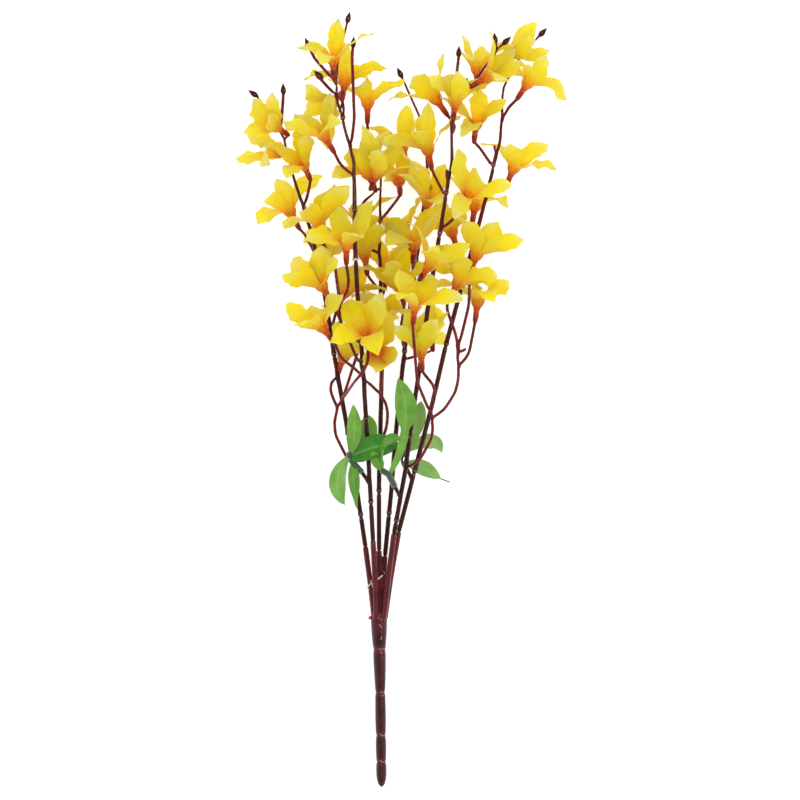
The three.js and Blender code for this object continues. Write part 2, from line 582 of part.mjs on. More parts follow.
function petalMiddle({ axis, outwards }, angle, petal, share) {
  const from = petalLean(petal, 0);
  const to = petalLean(petal, share);
  const bend = to - from;
  const straight = Math.abs(bend) < 1e-3;
  const run = straight ? share * Math.sin(from) : (share * (Math.cos(from) - Math.cos(to))) / bend;
  const rise = straight ? share * Math.cos(from) : (share * (Math.sin(to) - Math.sin(from))) / bend;
  return outwards(angle)
    .multiplyScalar(CUP_RIM_RADIUS + run * petal.length)
    .addScaledVector(axis, CUP_DEPTH + rise * petal.length)
    .addScaledVector(outwards(angle + Math.PI / 2), petal.sideways * petal.length * share * share);
}

const petalAngle = (turn, k) => turn + (k * Math.PI * 2) / PETALS;

const inwardAt = ({ axis, outwards }, angle, lean) =>
  outwards(angle).multiplyScalar(-Math.cos(lean)).addScaledVector(axis, Math.sin(lean));

// A petal's inner face and the way across it, turned about its length by its twist.
function petalFace(frame, angle, petal, share) {
  const across = frame.outwards(angle + Math.PI / 2);
  const inward = inwardAt(frame, angle, petalLean(petal, share));
  const turned = petal.twist * share;
  return {
    edge: across.clone().multiplyScalar(Math.cos(turned)).addScaledVector(inward, Math.sin(turned)),
    inward: inward.multiplyScalar(Math.cos(turned)).addScaledVector(across, -Math.sin(turned)),
  };
}

// The twist that turns a petal's face upwards, by all of what it needs or by a share of it.
const FACE_SHARE = 0.8; // where along the petal its face is turned
const MOST_TWIST = 1.2;
const WIDE = 0.75;
function twistUp(frame, angle, petal, wide = WIDE) {
  const { edge, inward } = petalFace(frame, angle, { ...petal, twist: 0 }, FACE_SHARE);
  const needed = Math.atan(-edge.z / (Math.abs(inward.z) + 0.02)) * Math.sign(inward.z || 1);
  return THREE.MathUtils.clamp((needed * wide) / FACE_SHARE, -MOST_TWIST, MOST_TWIST);
}

function petalsOf(draw) {
  return Array.from({ length: PETALS }, () => ({
    open: draw(0.45, 0.75),
    sideways: draw(-0.08, 0.08),
    twist: draw(-0.35, 0.35),
    hollow: draw(0.3, 1.3),
    length: PETAL_LENGTH * draw(0.95, 1.05),
  }));
}

// Every way to give each of the first wanted things a petal of its own.
function choices(wanted, petals = [0, 1, 2, 3]) {
  if (wanted === 0) return [[]];
  return petals.flatMap((k) =>
    choices(wanted - 1, petals.filter((other) => other !== k)).map((rest) => [k, ...rest]));
}

// A petal made a little longer or shorter, and bent a little sideways, so that its tip comes near the one
// that is wanted of it, seen from above. miss is how far off it still is, squared.
const MOST_SIDEWAYS = 0.2;
const MOST_STRETCH = 0.1;
function aimed(frame, angle, petal, want) {
  const tip = petalMiddle(frame, angle, { ...petal, sideways: 0 }, 1);
  const reach = tip.clone().sub(petalMiddle(frame, angle, petal, 0));
  const miss = want.clone().sub(tip);
  const shareOf = (way, most) => {
    const share = (miss.x * way.x + miss.y * way.y) / (way.x ** 2 + way.y ** 2 + 1);
    const taken = THREE.MathUtils.clamp(share, -most, most);
    miss.addScaledVector(way, -taken);
    return taken;
  };
  const length = petal.length * (1 + shareOf(reach, MOST_STRETCH));
  const sideways = shareOf(frame.outwards(angle + Math.PI / 2).multiplyScalar(length), MOST_SIDEWAYS);
  return { petal: { ...petal, length, sideways }, miss: miss.x ** 2 + miss.y ** 2 };
}

// The turn, nod, swing and opening that bring petals nearest to the tips that the floret's line gives.
const OPENINGS = [0.05, 0.2, 0.35, 0.5, 0.65, 0.8, 0.95, 1.1];
const TURN_STEPS = 12;
const NOD_COST = 80;
function poseToTips({ foot, faces, tips }, petals) {
  const base = at(foot);
  const wanted = tips.map(([column, row]) => at([column, row, 0]).sub(base));
  const orders = choices(wanted.length);
  let best = { miss: Infinity };
  for (const nod of [-0.35, -0.17, 0, 0.17, 0.35]) {
    for (const swing of [-0.25, 0, 0.25]) {
      const frame = floretFrame(faces, nod, swing);
      for (let step = 0; step < TURN_STEPS; step++) {
        const turn = ((Math.PI / 2) * step) / TURN_STEPS;
        const reach = wanted.map((want) => petals.map((petal, k) =>
          OPENINGS.map((open) => aimed(frame, petalAngle(turn, k), { ...petal, open }, want))
            .reduce((a, b) => (a.miss < b.miss ? a : b))));
        for (const order of orders) {
          const cost = NOD_COST * (nod ** 2 + swing ** 2);
          const miss = order.reduce((sum, k, i) => sum + reach[i][k].miss, cost);
          if (miss < best.miss) {
            const opens = petals.map((petal) => petal.open);
            order.forEach((k, i) => (opens[k] = reach[i][k].petal.open));
            best = { miss, nod, swing, turn, opens, order, wanted };
          }
        }
      }
    }
  }
  return best;
}

// Ways to place a floret, the ones that keep its petals nearest to their tips first. Each is its best pose
// nodded, swung, turned, moved and lifted a little, with its petals opened a little more or less.
const TRIES = 700;
const NUDGE = { nod: 0.7, swing: 0.5, turn: 0.7, open: 0.9, shift: 5, lift: 14 };
const LIFT_COST = 0.25;
const SHIFT_COST = 2;
function placings(line, petals, pose, draw) {
  return Array.from({ length: TRIES }, (_, attempt) => {
    const reach = attempt / TRIES;
    const nudge = (most) => draw(-most, most) * reach;
    const lift = draw(-NUDGE.lift, NUDGE.lift) * Math.sqrt(reach);
    const shift = new THREE.Vector3(nudge(NUDGE.shift), nudge(NUDGE.shift), 0);
    const nod = pose.nod + nudge(NUDGE.nod);
    const swing = pose.swing + nudge(NUDGE.swing);
    const frame = floretFrame(line.faces, nod, swing);
    const turn = pose.turn + nudge(NUDGE.turn);
    const bent = petals.map((petal, k) => ({ ...petal, open: pose.opens[k] + nudge(NUDGE.open) }));
    let miss = SHIFT_COST * shift.lengthSq() + LIFT_COST * lift ** 2;
    pose.order.forEach((k, i) => {
      const want = pose.wanted[i].clone().sub(shift);
      const aim = aimed(frame, petalAngle(turn, k), bent[k], want);
      bent[k] = aim.petal;
      bent[k].twist = twistUp(frame, petalAngle(turn, k), bent[k], line.tips[i][2]);
      miss += aim.miss;
    });
    return { miss, frame, turn, petals: bent, foot: at(line.foot).add(shift).setZ(line.foot[2] + lift) };
  }).sort((a, b) => a.miss - b.miss);
}

// The cloth of a floret, foot at the origin. Round its cup are eight points a ring: under the middle of each
// petal and under each notch. A petal adds rows of three points and a tip. The cup's floor rises as a pistil.
const RING = PETALS * 2;
const PETAL_ROWS = [[0.4, 0.98], [0.76, 0.86]]; // [share of the length, share of the width]
function floretSolid(frame, turn, petals) {
  const { axis, outwards } = frame;
  const cloth = new Cloth();
  const ringAngle = (j) => turn + (j * Math.PI * 2) / RING;
  const ringPoint = (j, radius, height) => {
    const centre = outwards(ringAngle(j)).multiplyScalar(radius).addScaledVector(axis, height);
    return cloth.add(centre, inwardAt(frame, ringAngle(j), CUP_LEAN));
  };
  const ring = Array.from({ length: RING }, (_, j) => j);
  const foot = ring.map((j) => ringPoint(j, CUP_FOOT_RADIUS, CLOTH));
  const rim = ring.map((j) =>
    j % 2
      ? ringPoint(j, CUP_RIM_RADIUS * NOTCH_SHARE, CUP_DEPTH - NOTCH_DEPTH)
      : ringPoint(j, CUP_RIM_RADIUS, CUP_DEPTH));
  for (let j = 0; j < RING; j += 2) {
    const before = (j + RING - 1) % RING;
    cloth.strip([foot[before], foot[j], foot[j + 1]], [rim[before], rim[j], rim[j + 1]]);
  }
  const outline = [];
  petals.forEach((petal, k) => {
    const angle = petalAngle(turn, k);
    const before = (2 * k + RING - 1) % RING;
    const rows = [[rim[before], rim[2 * k], rim[2 * k + 1]]];
    for (const [share, width] of PETAL_ROWS) {
      const { inward, edge } = petalFace(frame, angle, petal, share);
      const centre = petalMiddle(frame, angle, petal, share);
      const edgePoint = (way) =>
        cloth.add(centre.clone().addScaledVector(edge, (way * width * PETAL_WIDTH) / 2)
          .addScaledVector(inward, petal.hollow), inward);
      rows.push([edgePoint(-1), cloth.add(centre, inward), edgePoint(1)]);
    }
    const tip = cloth.add(petalMiddle(frame, angle, petal, 1), petalFace(frame, angle, petal, 1).inward);
    for (let i = 1; i < rows.length; i++) cloth.strip(rows[i - 1], rows[i]);
    const [left, centre, right] = rows.at(-1);
    cloth.faces.push([left, centre, tip], [centre, right, tip]);
    const free = rows.slice(1);
    outline.push(rim[before], ...free.map((row) => row[0]), tip, ...free.map((row) => row[2]).reverse());
  });
  const triangles = cloth.triangles(outline);
  const inner = cloth.outer.length;
  const floor = 2 * inner;
  const pistil = floor + 1;
  const apex = axis.clone().multiplyScalar(PISTIL_HEIGHT);
  const points = [...cloth.outer, ...cloth.inner, new THREE.Vector3(), apex];
  for (const j of ring) {
    const next = (j + 1) % RING;
    triangles.push(floor, foot[next], foot[j], foot[j] + inner, foot[next] + inner, pistil);
  }
  return clothSolid(points, triangles);
}

// ---------------------------------------------------------------- putting the bunch together

// Everything placed so far, as { owner, solid }. A stem's own twigs may join it, so they share its name.
const placed = [];
const place = (owner, solid) => placed.push({ owner, solid });
const clearOf = (solid, owner, distance = CLEAR) =>
  placed.every((other) => other.owner === owner || apart(solid, other.solid, distance));

const handle = handleSolid();
place("handle", handle);
for (const { name, parts } of stems) place(name, parts[0]);

// Leaves bend away from what is in their way: each is tried with its bow and tip a little further up or down.
const LEAF_LIFTS = [0, 2, -2, 4, -4, 6, -6, 8, -8, 11, -11, 14, -14];
const sprigs = SPRIGS.map(({ stem, peg, sleeve, leaves }, i) => {
  const name = `leaf_sprig_${i + 1}`;
  const pegCurve = curveThrough([nearestOn(stemNamed(stem).spine, peg[0]), ...peg.slice(1).map(at)]);
  const pegEnd = pegCurve.getLength() - PEG_ROOM;
  const pegStations = stationsBetween(0, pegEnd, PEG_STEP, () => PEG_RADIUS);
  const pegBar = bar(pegCurve, pegStations, TWIG_SIDES);
  const boreStations = [...pegStations, [pegEnd + PEG_ROOM]].map(([distance]) => [distance, BORE_RADIUS]);
  const bore = bar(pegCurve, boreStations, TWIG_SIDES);
  const sleeveCurve = curveThrough(sleeve.map(at));
  const sleeveStations = stationsBetween(0, sleeveCurve.getLength(), SLEEVE_STEP, () => SLEEVE_RADIUS);
  const sleeveBar = bar(sleeveCurve, sleeveStations, TWIG_SIDES + 1);
  const sleeveSpine = spineOf(sleeveCurve, sleeveStations);
  stemNamed(stem).parts.push(pegBar);
  place(stem, pegBar);
  const blades = leaves.map((leaf, j) => {
    for (const lift of LEAF_LIFTS) {
      const [column, row, height] = leaf.tip;
      const bent = { ...leaf, tip: [column, row, height + lift], bow: leaf.bow + lift / 2 };
      const blade = leafSolid(nearestOn(sleeveSpine, leaf.root), bent);
      if (clearOf(blade, name)) {
        place(name, blade);
        return blade;
      }
    }
    throw new Error(`no clear way for leaf ${j + 1} of ${name}`);
  });
  return { name, solid: joined([sleeveBar, ...blades]).subtract(bore) };
});

// What twigs can grow on, by name: the stems, and the side branches once they are placed.
const growing = Object.fromEntries(stems.map((stem) => [stem.name, stem]));

// A floret sits on the straight flared end of its twig, 0.3 mm clear of it.
const socketEnds = (foot, axis) => [
  foot.clone().addScaledVector(axis, -GAP - SOCKET_LENGTH),
  foot.clone().addScaledVector(axis, -GAP),
];

const ownerOf = (on) => (growing[on] ? growing[on].name : ownerOf(BRANCHES[on].on));

// A twig leaves what it grows on, passes its places on the drawing and reaches its end. Its middle is lifted,
// lowered or moved aside by the least amount that clears every other piece.
const DETOUR_SIZES = [2, 4, 6, 8, 10, 13, 16, 20];
const DETOUR_WAYS = [
  [0, 0, 1], [0, 0, -1], [1, 0, 0.5], [-1, 0, 0.5], [1, 0, -0.5], [-1, 0, -0.5], [0, 1, 0], [0, -1, 0],
];
const DETOURS = [
  [0, 0, 0],
  ...DETOUR_SIZES.flatMap((size) => DETOUR_WAYS.map((way) => way.map((part) => part * size))),
];

function twigCurve(root, via, ends, detour) {
  const places = [root, ...via.map(([column, row]) => at([column, row, 0])), ends[0]];
  const walked = [0];
  for (let i = 1; i < places.length; i++) {
    walked.push(walked[i - 1] + Math.hypot(places[i].x - places[i - 1].x, places[i].y - places[i - 1].y));
  }
  const along = walked.map((distance) => distance / walked.at(-1));
  const offset = new THREE.Vector3(...detour);
  let inner = places.slice(1, -1).map((p, i) =>
    new THREE.Vector3(p.x, p.y, THREE.MathUtils.lerp(root.z, ends[0].z, along[i + 1]))
      .addScaledVector(offset, Math.sin(Math.PI * along[i + 1])));
  if (inner.length === 0) inner = [root.clone().lerp(ends[0], 0.5).add(offset)];
  return curveThrough([root, ...inner, ...ends]);
}

function growTwig({ on, root, via = [] }, ends, owner, shapeOf, floret) {
  const from = nearestOn(growing[on].spine, root);
  for (const detour of DETOURS) {
    const curve = twigCurve(from, via, ends, detour);
    const twig = shapeOf(curve);
    const seated = !floret || apart(twig, floret, SEAT);
    if (seated && lowestOf(twig) >= LOWEST && clearOf(twig, owner)) {
      place(owner, twig);
      stemNamed(owner).parts.push(twig);
      return curve;
    }
  }
  return null;
}

// A twig whose last stretch has the shape of a socket or a bud.
function endedTwig(curve, shape, length, radius) {
  const start = curve.getLength() - length;
  const stalk = stationsAlong(curve, 0, start, () => TWIG_RADIUS);
  return bar(curve, [...stalk, ...endStations(shape, start, length, radius)], TWIG_SIDES);
}
const socketedTwig = (curve) => endedTwig(curve, SOCKET_SHAPE, SOCKET_LENGTH, SOCKET_RADIUS);
const buddedTwig = (curve) => endedTwig(curve, BUD_SHAPE, BUD_LENGTH, BUD_RADIUS);
const plainStations = (curve) => stationsAlong(curve, 0, curve.getLength(), () => TWIG_RADIUS);
const plainTwig = (curve) => bar(curve, plainStations(curve), TWIG_SIDES);

for (const [name, { on, places, height }] of Object.entries(BRANCHES)) {
  const owner = ownerOf(on);
  const last = places.at(-1);
  const end = at([...last, height]);
  const before = at([...places.at(-2), height]);
  const approach = end.clone().lerp(before, 0.3);
  const line = { on, root: places[0], via: places.slice(1, -1) };
  const curve = growTwig(line, [approach, end], owner, plainTwig);
  if (!curve) throw new Error(`no clear way for ${name}`);
  growing[name] = { name: owner, spine: spineOf(curve, plainStations(curve)) };
}

function growToPoint(twig, endLength, shapeOf) {
  const point = at(twig.point);
  const last = at([...twig.via.at(-1), twig.point[2]]);
  const neck = point.clone().lerp(last, endLength / point.distanceTo(last));
  if (!growTwig(twig, [neck, point], ownerOf(twig.on), shapeOf)) {
    throw new Error(`no clear way for the twig to ${twig.point}`);
  }
}
for (const twig of BUD_TWIGS) growToPoint(twig, BUD_LENGTH, buddedTwig);
for (const twig of BARE_TWIGS) growToPoint(twig, BARE_END, plainTwig);

// Each floret takes the best placing that clears everything placed before it and leaves a way for its twig. A
// floret that rests is lowered until its lowest petal touches the surface.
const florets = FLORETS.map((line, i) => {
  const name = `floret_${String(i + 1).padStart(2, "0")}`;
  const draw = seeded(i + 1);
  const petals = petalsOf(draw);
  const pose = poseToTips(line, petals);
  const owner = ownerOf(line.on);
  for (const { frame, turn, petals: bent, foot } of placings(line, petals, pose, draw)) {
    let cloth = floretSolid(frame, turn, bent).translate(foot.toArray());
    if (line.rests) {
      const drop = lowestOf(cloth);
      cloth = cloth.translate([0, 0, -drop]);
      foot.z -= drop;
    } else if (lowestOf(cloth) < LOWEST) continue;
    if (!clearOf(cloth, name)) continue;
    const twig = growTwig(line, socketEnds(foot, frame.axis), owner, socketedTwig, cloth);
    if (!twig) continue;
    place(name, cloth);
    return { name, solid: cloth };
  }
  throw new Error(`no clear place for ${name}`);
});

// ---------------------------------------------------------------- the scene graph

const finish = (color, roughness) => ({ color, roughness, metalness: 0 });
const FINISHES = {
  handle: finish("#4a2326", 0.5),
  stem: finish("#5a1719", 0.35),
  leaf: finish("#5fa93a", 0.75),
  petal: finish("#f0d41c", 0.8),
};

const bunch = new THREE.Group();
function addMesh(name, solid, finishName) {
  const mesh = new THREE.Mesh(geometryOf(solid), new THREE.MeshStandardMaterial(FINISHES[finishName]));
  mesh.name = name;
  bunch.add(mesh);
}

addMesh("handle", handle, "handle");
for (const { name, parts } of stems) addMesh(name, joined(parts), "stem");
for (const { name, solid } of sprigs) addMesh(name, solid, "leaf");
for (const { name, solid } of florets) addMesh(name, solid, "petal");

// The origin is under the middle of the bunch.
const box = new THREE.Box3().setFromObject(bunch);
const middle = box.getCenter(new THREE.Vector3());
bunch.position.set(-middle.x, -middle.y, 0);

export default bunch;
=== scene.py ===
# %% [markdown]
# # An artificial forsythia bunch
#
# The real thing is a bush for a vase: a moulded handle with six fingers, a plastic stem in each finger, twigs
# that end in buds or in red calyxes, and a pressed cloth floret on every calyx. It lies on its side. The
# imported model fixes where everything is, and this lesson dresses it piece by piece.

import math
import random

import bmesh
import bpy
import numpy as np
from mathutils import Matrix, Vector, noise


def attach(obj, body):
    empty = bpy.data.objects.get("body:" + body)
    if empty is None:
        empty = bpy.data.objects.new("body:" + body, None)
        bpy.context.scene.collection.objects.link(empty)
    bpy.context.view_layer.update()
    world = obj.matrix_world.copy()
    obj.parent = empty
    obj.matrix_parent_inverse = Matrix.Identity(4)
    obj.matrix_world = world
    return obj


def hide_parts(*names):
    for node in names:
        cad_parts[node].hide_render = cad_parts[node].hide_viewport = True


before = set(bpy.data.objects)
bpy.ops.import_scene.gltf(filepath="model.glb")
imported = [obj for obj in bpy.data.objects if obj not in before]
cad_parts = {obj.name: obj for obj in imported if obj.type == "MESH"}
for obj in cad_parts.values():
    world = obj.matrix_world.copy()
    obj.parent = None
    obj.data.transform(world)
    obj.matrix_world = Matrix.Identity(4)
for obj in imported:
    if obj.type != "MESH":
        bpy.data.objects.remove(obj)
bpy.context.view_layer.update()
MM = 0.001

# %% [markdown]
# Places on the bunch are easiest to give on a squared drawing seen from above, as columns and rows, with a
# height in millimetres. One helper turns them into points of the scene, and another turns a paint colour
# written as six hex digits into the linear numbers that shaders use.

# %% Places and colours
SQUARE = 0.72 * MM
AXIS_COLUMN = 381
FOOT_ROW = 787
MIDDLE = Vector((13.6 * MM, 278.8 * MM, 0))
WELD = 0.02 * MM
FINE_WELD = 0.01 * MM
SLIVER = 0.005 * MM


def at(column, row, height):
    return Vector(((column - AXIS_COLUMN) * SQUARE, (FOOT_ROW - row) * SQUARE, height * MM)) - MIDDLE


def point_along(line, marks, mark):
    """The point of a line at a mark, when each of its points has a mark of its own."""
    return Vector([np.interp(mark, marks, line[:, i]) for i in range(3)])


def linear(code):
    channels = [int(code[i : i + 2], 16) / 255 for i in (0, 2, 4)]
    return (*[c / 12.92 if c <= 0.04045 else ((c + 0.055) / 1.055) ** 2.4 for c in channels], 1.0)


def merged_copy(node):
    shape = bmesh.new()
    shape.from_mesh(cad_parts[node].data)
    bmesh.ops.remove_doubles(shape, verts=shape.verts, dist=WELD)
    return shape


def put(name, data):
    made = bpy.data.objects.new(name, data)
    bpy.context.scene.collection.objects.link(made)
    return made


def put_shape(name, shape):
    mesh = bpy.data.meshes.new(name)
    shape.to_mesh(mesh)
    shape.free()
    return put(name, mesh)


def piece(name, shape, node, material):
    """Finishes one shown piece: smooth all over, but crisp where cloth is cut."""
    for face in shape.faces:
        face.smooth = True
    for edge in shape.edges:
        edge.smooth = not edge.is_boundary
    made = put_shape(name, shape)
    made.data.materials.append(material)
    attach(made, "root")
    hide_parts(node)
    return made


print("the drawing's middle is at", [round(v, 4) for v in at(399.9, 399.8, 0)])

# %% [markdown]
# ## Finishes
#
# Every finish here is worn, moulded or woven, so none is one flat colour. Three effects come back in several
# finishes, and each is a node group that is built once: an uneven tint, fine grain for the bump, and lines
# that run along a petal or leaf from its foot to its tip.

# %% Building with nodes
def feed(tree, socket, source):
    """Gives a socket another node's output, a number, or a colour written as six hex digits."""
    if isinstance(source, bpy.types.NodeSocket):
        tree.links.new(source, socket)
    else:
        socket.default_value = linear(source) if isinstance(source, str) else source


def add(tree, kind, feeds=None, **settings):
    node = tree.nodes.new(kind)
    for key, value in settings.items():
        setattr(node, key, value)
    for label, source in (feeds or {}).items():
        feed(tree, node.inputs[label], source)
    return node


def mixed(tree, share, under, over):
    return add(tree, "ShaderNodeMix", {0: share, 6: under, 7: over}, data_type="RGBA").outputs[2]


def reckoned(tree, operation, *terms):
    return add(tree, "ShaderNodeMath", dict(enumerate(terms)), operation=operation).outputs[0]


def spread(tree, source, low, high, to_low=0.0, to_high=1.0):
    feeds = {0: source, 1: low, 2: high, 3: to_low, 4: to_high}
    return add(tree, "ShaderNodeMapRange", feeds).outputs[0]


def clouds(tree, place, scale, detail):
    return add(tree, "ShaderNodeTexNoise", {"Vector": place, "Scale": scale, "Detail": detail}).outputs[0]


def split(tree, vector):
    return add(tree, "ShaderNodeSeparateXYZ", {0: vector}).outputs


def ramp(tree, source, stops):
    node = add(tree, "ShaderNodeValToRGB", {0: source})
    band = node.color_ramp
    while len(band.elements) < len(stops):
        band.elements.new(0.5)
    for element, (place, code) in zip(band.elements, stops):
        element.position = place
        element.color = linear(code)
    return node.outputs[0]


# %% Shared effects as node groups
def new_group(name, inputs, output):
    group = bpy.data.node_groups.new(name, "ShaderNodeTree")
    for label, kind in inputs:
        group.interface.new_socket(name=label, in_out="INPUT", socket_type=f"NodeSocket{kind}")
    group.interface.new_socket(name=output[0], in_out="OUTPUT", socket_type=f"NodeSocket{output[1]}")
    return group, group.nodes.new("NodeGroupInput").outputs, group.nodes.new("NodeGroupOutput").inputs[0]


def uneven_tint():
    group, given, result = new_group("uneven_tint", [
        ("Colour", "Color"), ("Other colour", "Color"),
        ("Place", "Vector"), ("Scale", "Float"), ("Amount", "Float"),
    ], ("Colour", "Color"))
    patches = spread(group, clouds(group, given["Place"], given["Scale"], 3.0), 0.35, 0.65)
    share = reckoned(group, "MULTIPLY", patches, given["Amount"])
    feed(group, result, mixed(group, share, given["Colour"], given["Other colour"]))
    return group


def fine_grain():
    group, given, result = new_group(
        "fine_grain", [("Place", "Vector"), ("Scale", "Float")], ("Height", "Float"))
    feed(group, result, clouds(group, given["Place"], given["Scale"], 2.0))
    return group


def lengthwise_lines():
    group, given, result = new_group(
        "lengthwise_lines", [("Across and along", "Vector"), ("Lines", "Float")], ("Lines", "Float"))
    across, along, _ = split(group, given["Across and along"])
    crowded = reckoned(group, "MULTIPLY", across, given["Lines"])
    drawn_out = reckoned(group, "MULTIPLY", along, 1.6)
    place = add(group, "ShaderNodeCombineXYZ", {0: crowded, 1: drawn_out}).outputs[0]
    feed(group, result, spread(group, clouds(group, place, 1.0, 2.0), 0.3, 0.7))
    return group


TINT, GRAIN, LINES = uneven_tint(), fine_grain(), lengthwise_lines()
print("groups:", [g.name for g in bpy.data.node_groups])

# %% [markdown]
# A finish starts from the Principled shader. The numbers that are the same all over it, such as sheen or
# coat, are set on the shader itself. What changes over the surface is wired to it: the colour, the roughness
# and the small bumps. The pattern's place comes from the object or from the mesh's own UV map, and some of it
# from numbers that the mesh keeps on its points.


# %% A new finish
def new_finish(name, **constant):
    material = bpy.data.materials.new(name)
    material.use_nodes = True
    tree = material.node_tree
    shader = tree.nodes["Principled BSDF"]
    for label, value in constant.items():
        shader.inputs[label.replace("_", " ")].default_value = value
    return material, tree, shader


def object_place(tree):
    return add(tree, "ShaderNodeTexCoord").outputs["Object"]


def number_on(tree, name):
    return add(tree, "ShaderNodeAttribute", attribute_name=name).outputs["Fac"]


def tinted(tree, colour, other, place, scale, amount):
    feeds = {"Colour": colour, "Other colour": other, "Place": place, "Scale": scale, "Amount": amount}
    return add(tree, "ShaderNodeGroup", feeds, node_tree=TINT).outputs[0]


def grained(tree, place, scale):
    return add(tree, "ShaderNodeGroup", {"Place": place, "Scale": scale}, node_tree=GRAIN).outputs[0]


def bumped(tree, shader, height, strength, depth):
    bump = add(tree, "ShaderNodeBump", {"Height": height, "Strength": strength, "Distance": depth})
    feed(tree, shader.inputs["Normal"], bump.outputs[0])


# %% [markdown]
# Petal cloth is dyed after it is pressed: orange in the throat, bright yellow over the petal and paler at the
# tip, where the paleness is partly painted light shining through the thin cloth. The petal's own UV map says
# how far along it a point is, so the dye follows every bend. Faint lines run from foot to tip where the press
# has creased the cloth, and painted shade darkens their grooves. Patches are dyed deeper at random, and a
# deeper yellow is painted over the crowded middle of the bunch as bounce light between petals. The cloth lets
# light through, which the subsurface numbers stand for.

# %% Petal cloth
# Where the painted bounce light of the crowded middle starts, and where it is at its strongest.
OPEN_UNBOUNCED_PLACE = 165 * MM
CROWDED_BOUNCE_PLACE = 100 * MM


def petal_finish():
    material, tree, shader = new_finish(
        "petal_cloth", Roughness=0.62, Sheen_Weight=0.12, Sheen_Roughness=0.5, Specular_IOR_Level=0.15,
        Subsurface_Weight=0.9, Subsurface_Radius=(1.0, 0.6, 0.15), Subsurface_Scale=2.5 * MM)
    uv = add(tree, "ShaderNodeUVMap", uv_map="petal").outputs[0]
    place = object_place(tree)
    lines = add(tree, "ShaderNodeGroup", {"Across and along": uv, "Lines": 12.0}, node_tree=LINES).outputs[0]
    along = reckoned(tree, "ADD", split(tree, uv)[1], reckoned(tree, "MULTIPLY_ADD", lines, 0.1, -0.05))
    # Both ramps grow paler towards the tip: partly the dye, partly painted light shining through the thin
    # cloth.
    dye_and_tip_glow = ramp(tree, along, [
        (0.0, "D8460A"), (0.08, "E9640E"), (0.18, "EC8616"), (0.28, "E4A81C"), (0.38, "DBC228"),
        (0.6, "DACA3A"), (0.82, "DCD270"), (1.0, "DEDAA2"),
    ])
    # The deeper yellow: random patches of deeper dye, and painted bounce light in the crowded middle.
    deeper_dye_and_bounce = ramp(tree, along, [
        (0.0, "CE3A0A"), (0.1, "E6580C"), (0.21, "EE800E"), (0.31, "EAA40C"), (0.43, "E9C106"),
        (0.7, "E8CE0C"), (0.86, "EAD52A"), (1.0, "EADC54"),
    ])
    # Painted bounce light: the deeper yellow gets a larger share over the crowded middle of the bunch.
    amount = spread(tree, split(tree, place)[1], OPEN_UNBOUNCED_PLACE, CROWDED_BOUNCE_PLACE, 0.7, 1.3)
    tint = tinted(tree, dye_and_tip_glow, deeper_dye_and_bounce, place, scale=45.0, amount=amount)
    # Painted shade: deep gold darkens the grooves of the crease lines, where the bump is lowest.
    crease_shaded = mixed(tree, spread(tree, lines, 0.0, 1.0, 0.2, 0.0), tint, "DAB212")
    feed(tree, shader.inputs["Base Color"], crease_shaded)
    height = reckoned(tree, "MULTIPLY_ADD", grained(tree, place, scale=1800.0), 0.3, lines)
    bumped(tree, shader, height, strength=0.35, depth=0.15 * MM)
    return material


PETAL_CLOTH = petal_finish()
print("made", PETAL_CLOTH.name)

# %% [markdown]
# The stems are one moulding of glossy maroon plastic. The calyxes are brushed with red, the buds are nearly
# black, and the joints where the mould parts meet are pale. Each of those is a number on the mesh's points,
# so one finish serves the whole moulding. A fourth number says how slim the wood is, because the twigs are
# redder than the stems.

# %% Stem plastic
def stem_finish():
    material, tree, shader = new_finish(
        "stem_plastic", Coat_Weight=0.12, Coat_Roughness=0.08, Specular_IOR_Level=0.2)
    place = object_place(tree)
    calyx, slim = number_on(tree, "calyx"), number_on(tree, "slim")
    bark = mixed(tree, slim, "45120F", "7E1A19")
    dusk = mixed(tree, slim, "260A09", "561110")
    tint = tinted(tree, bark, dusk, place, scale=90.0, amount=0.9)
    rouge = ramp(tree, calyx, [(0.0, "661412"), (0.35, "8A2014"), (0.75, "AC3816"), (1.0, "CC521C")])
    brushed = mixed(tree, reckoned(tree, "GREATER_THAN", calyx, 0.01), tint, rouge)
    budded = mixed(tree, number_on(tree, "bud"), brushed, "3E0C10")
    jointed = mixed(tree, number_on(tree, "joint"), budded, "E2CDA4")
    feed(tree, shader.inputs["Base Color"], jointed)
    grain = grained(tree, place, scale=900.0)
    feed(tree, shader.inputs["Roughness"], spread(tree, grain, 0.3, 0.7, 0.14, 0.34))
    bumped(tree, shader, grain, strength=0.35, depth=0.2 * MM)
    return material


STEM_PLASTIC = stem_finish()
print("made", STEM_PLASTIC.name)

# %% [markdown]
# The handle comes out of the same works but is left satin. Its mould rings have rubbed to a lighter, redder
# brown, which the number called "rub" marks, and its fingers are redder than its rod. Another number is for
# the scraps on it: low for pink glue, high for pale threads of plastic, and in between for pale flecks that
# are painted highlights on the rings.

# %% Handle plastic
ROD_COLOURED_TO = -172 * MM
FINGERS_COLOURED_FROM = -150 * MM


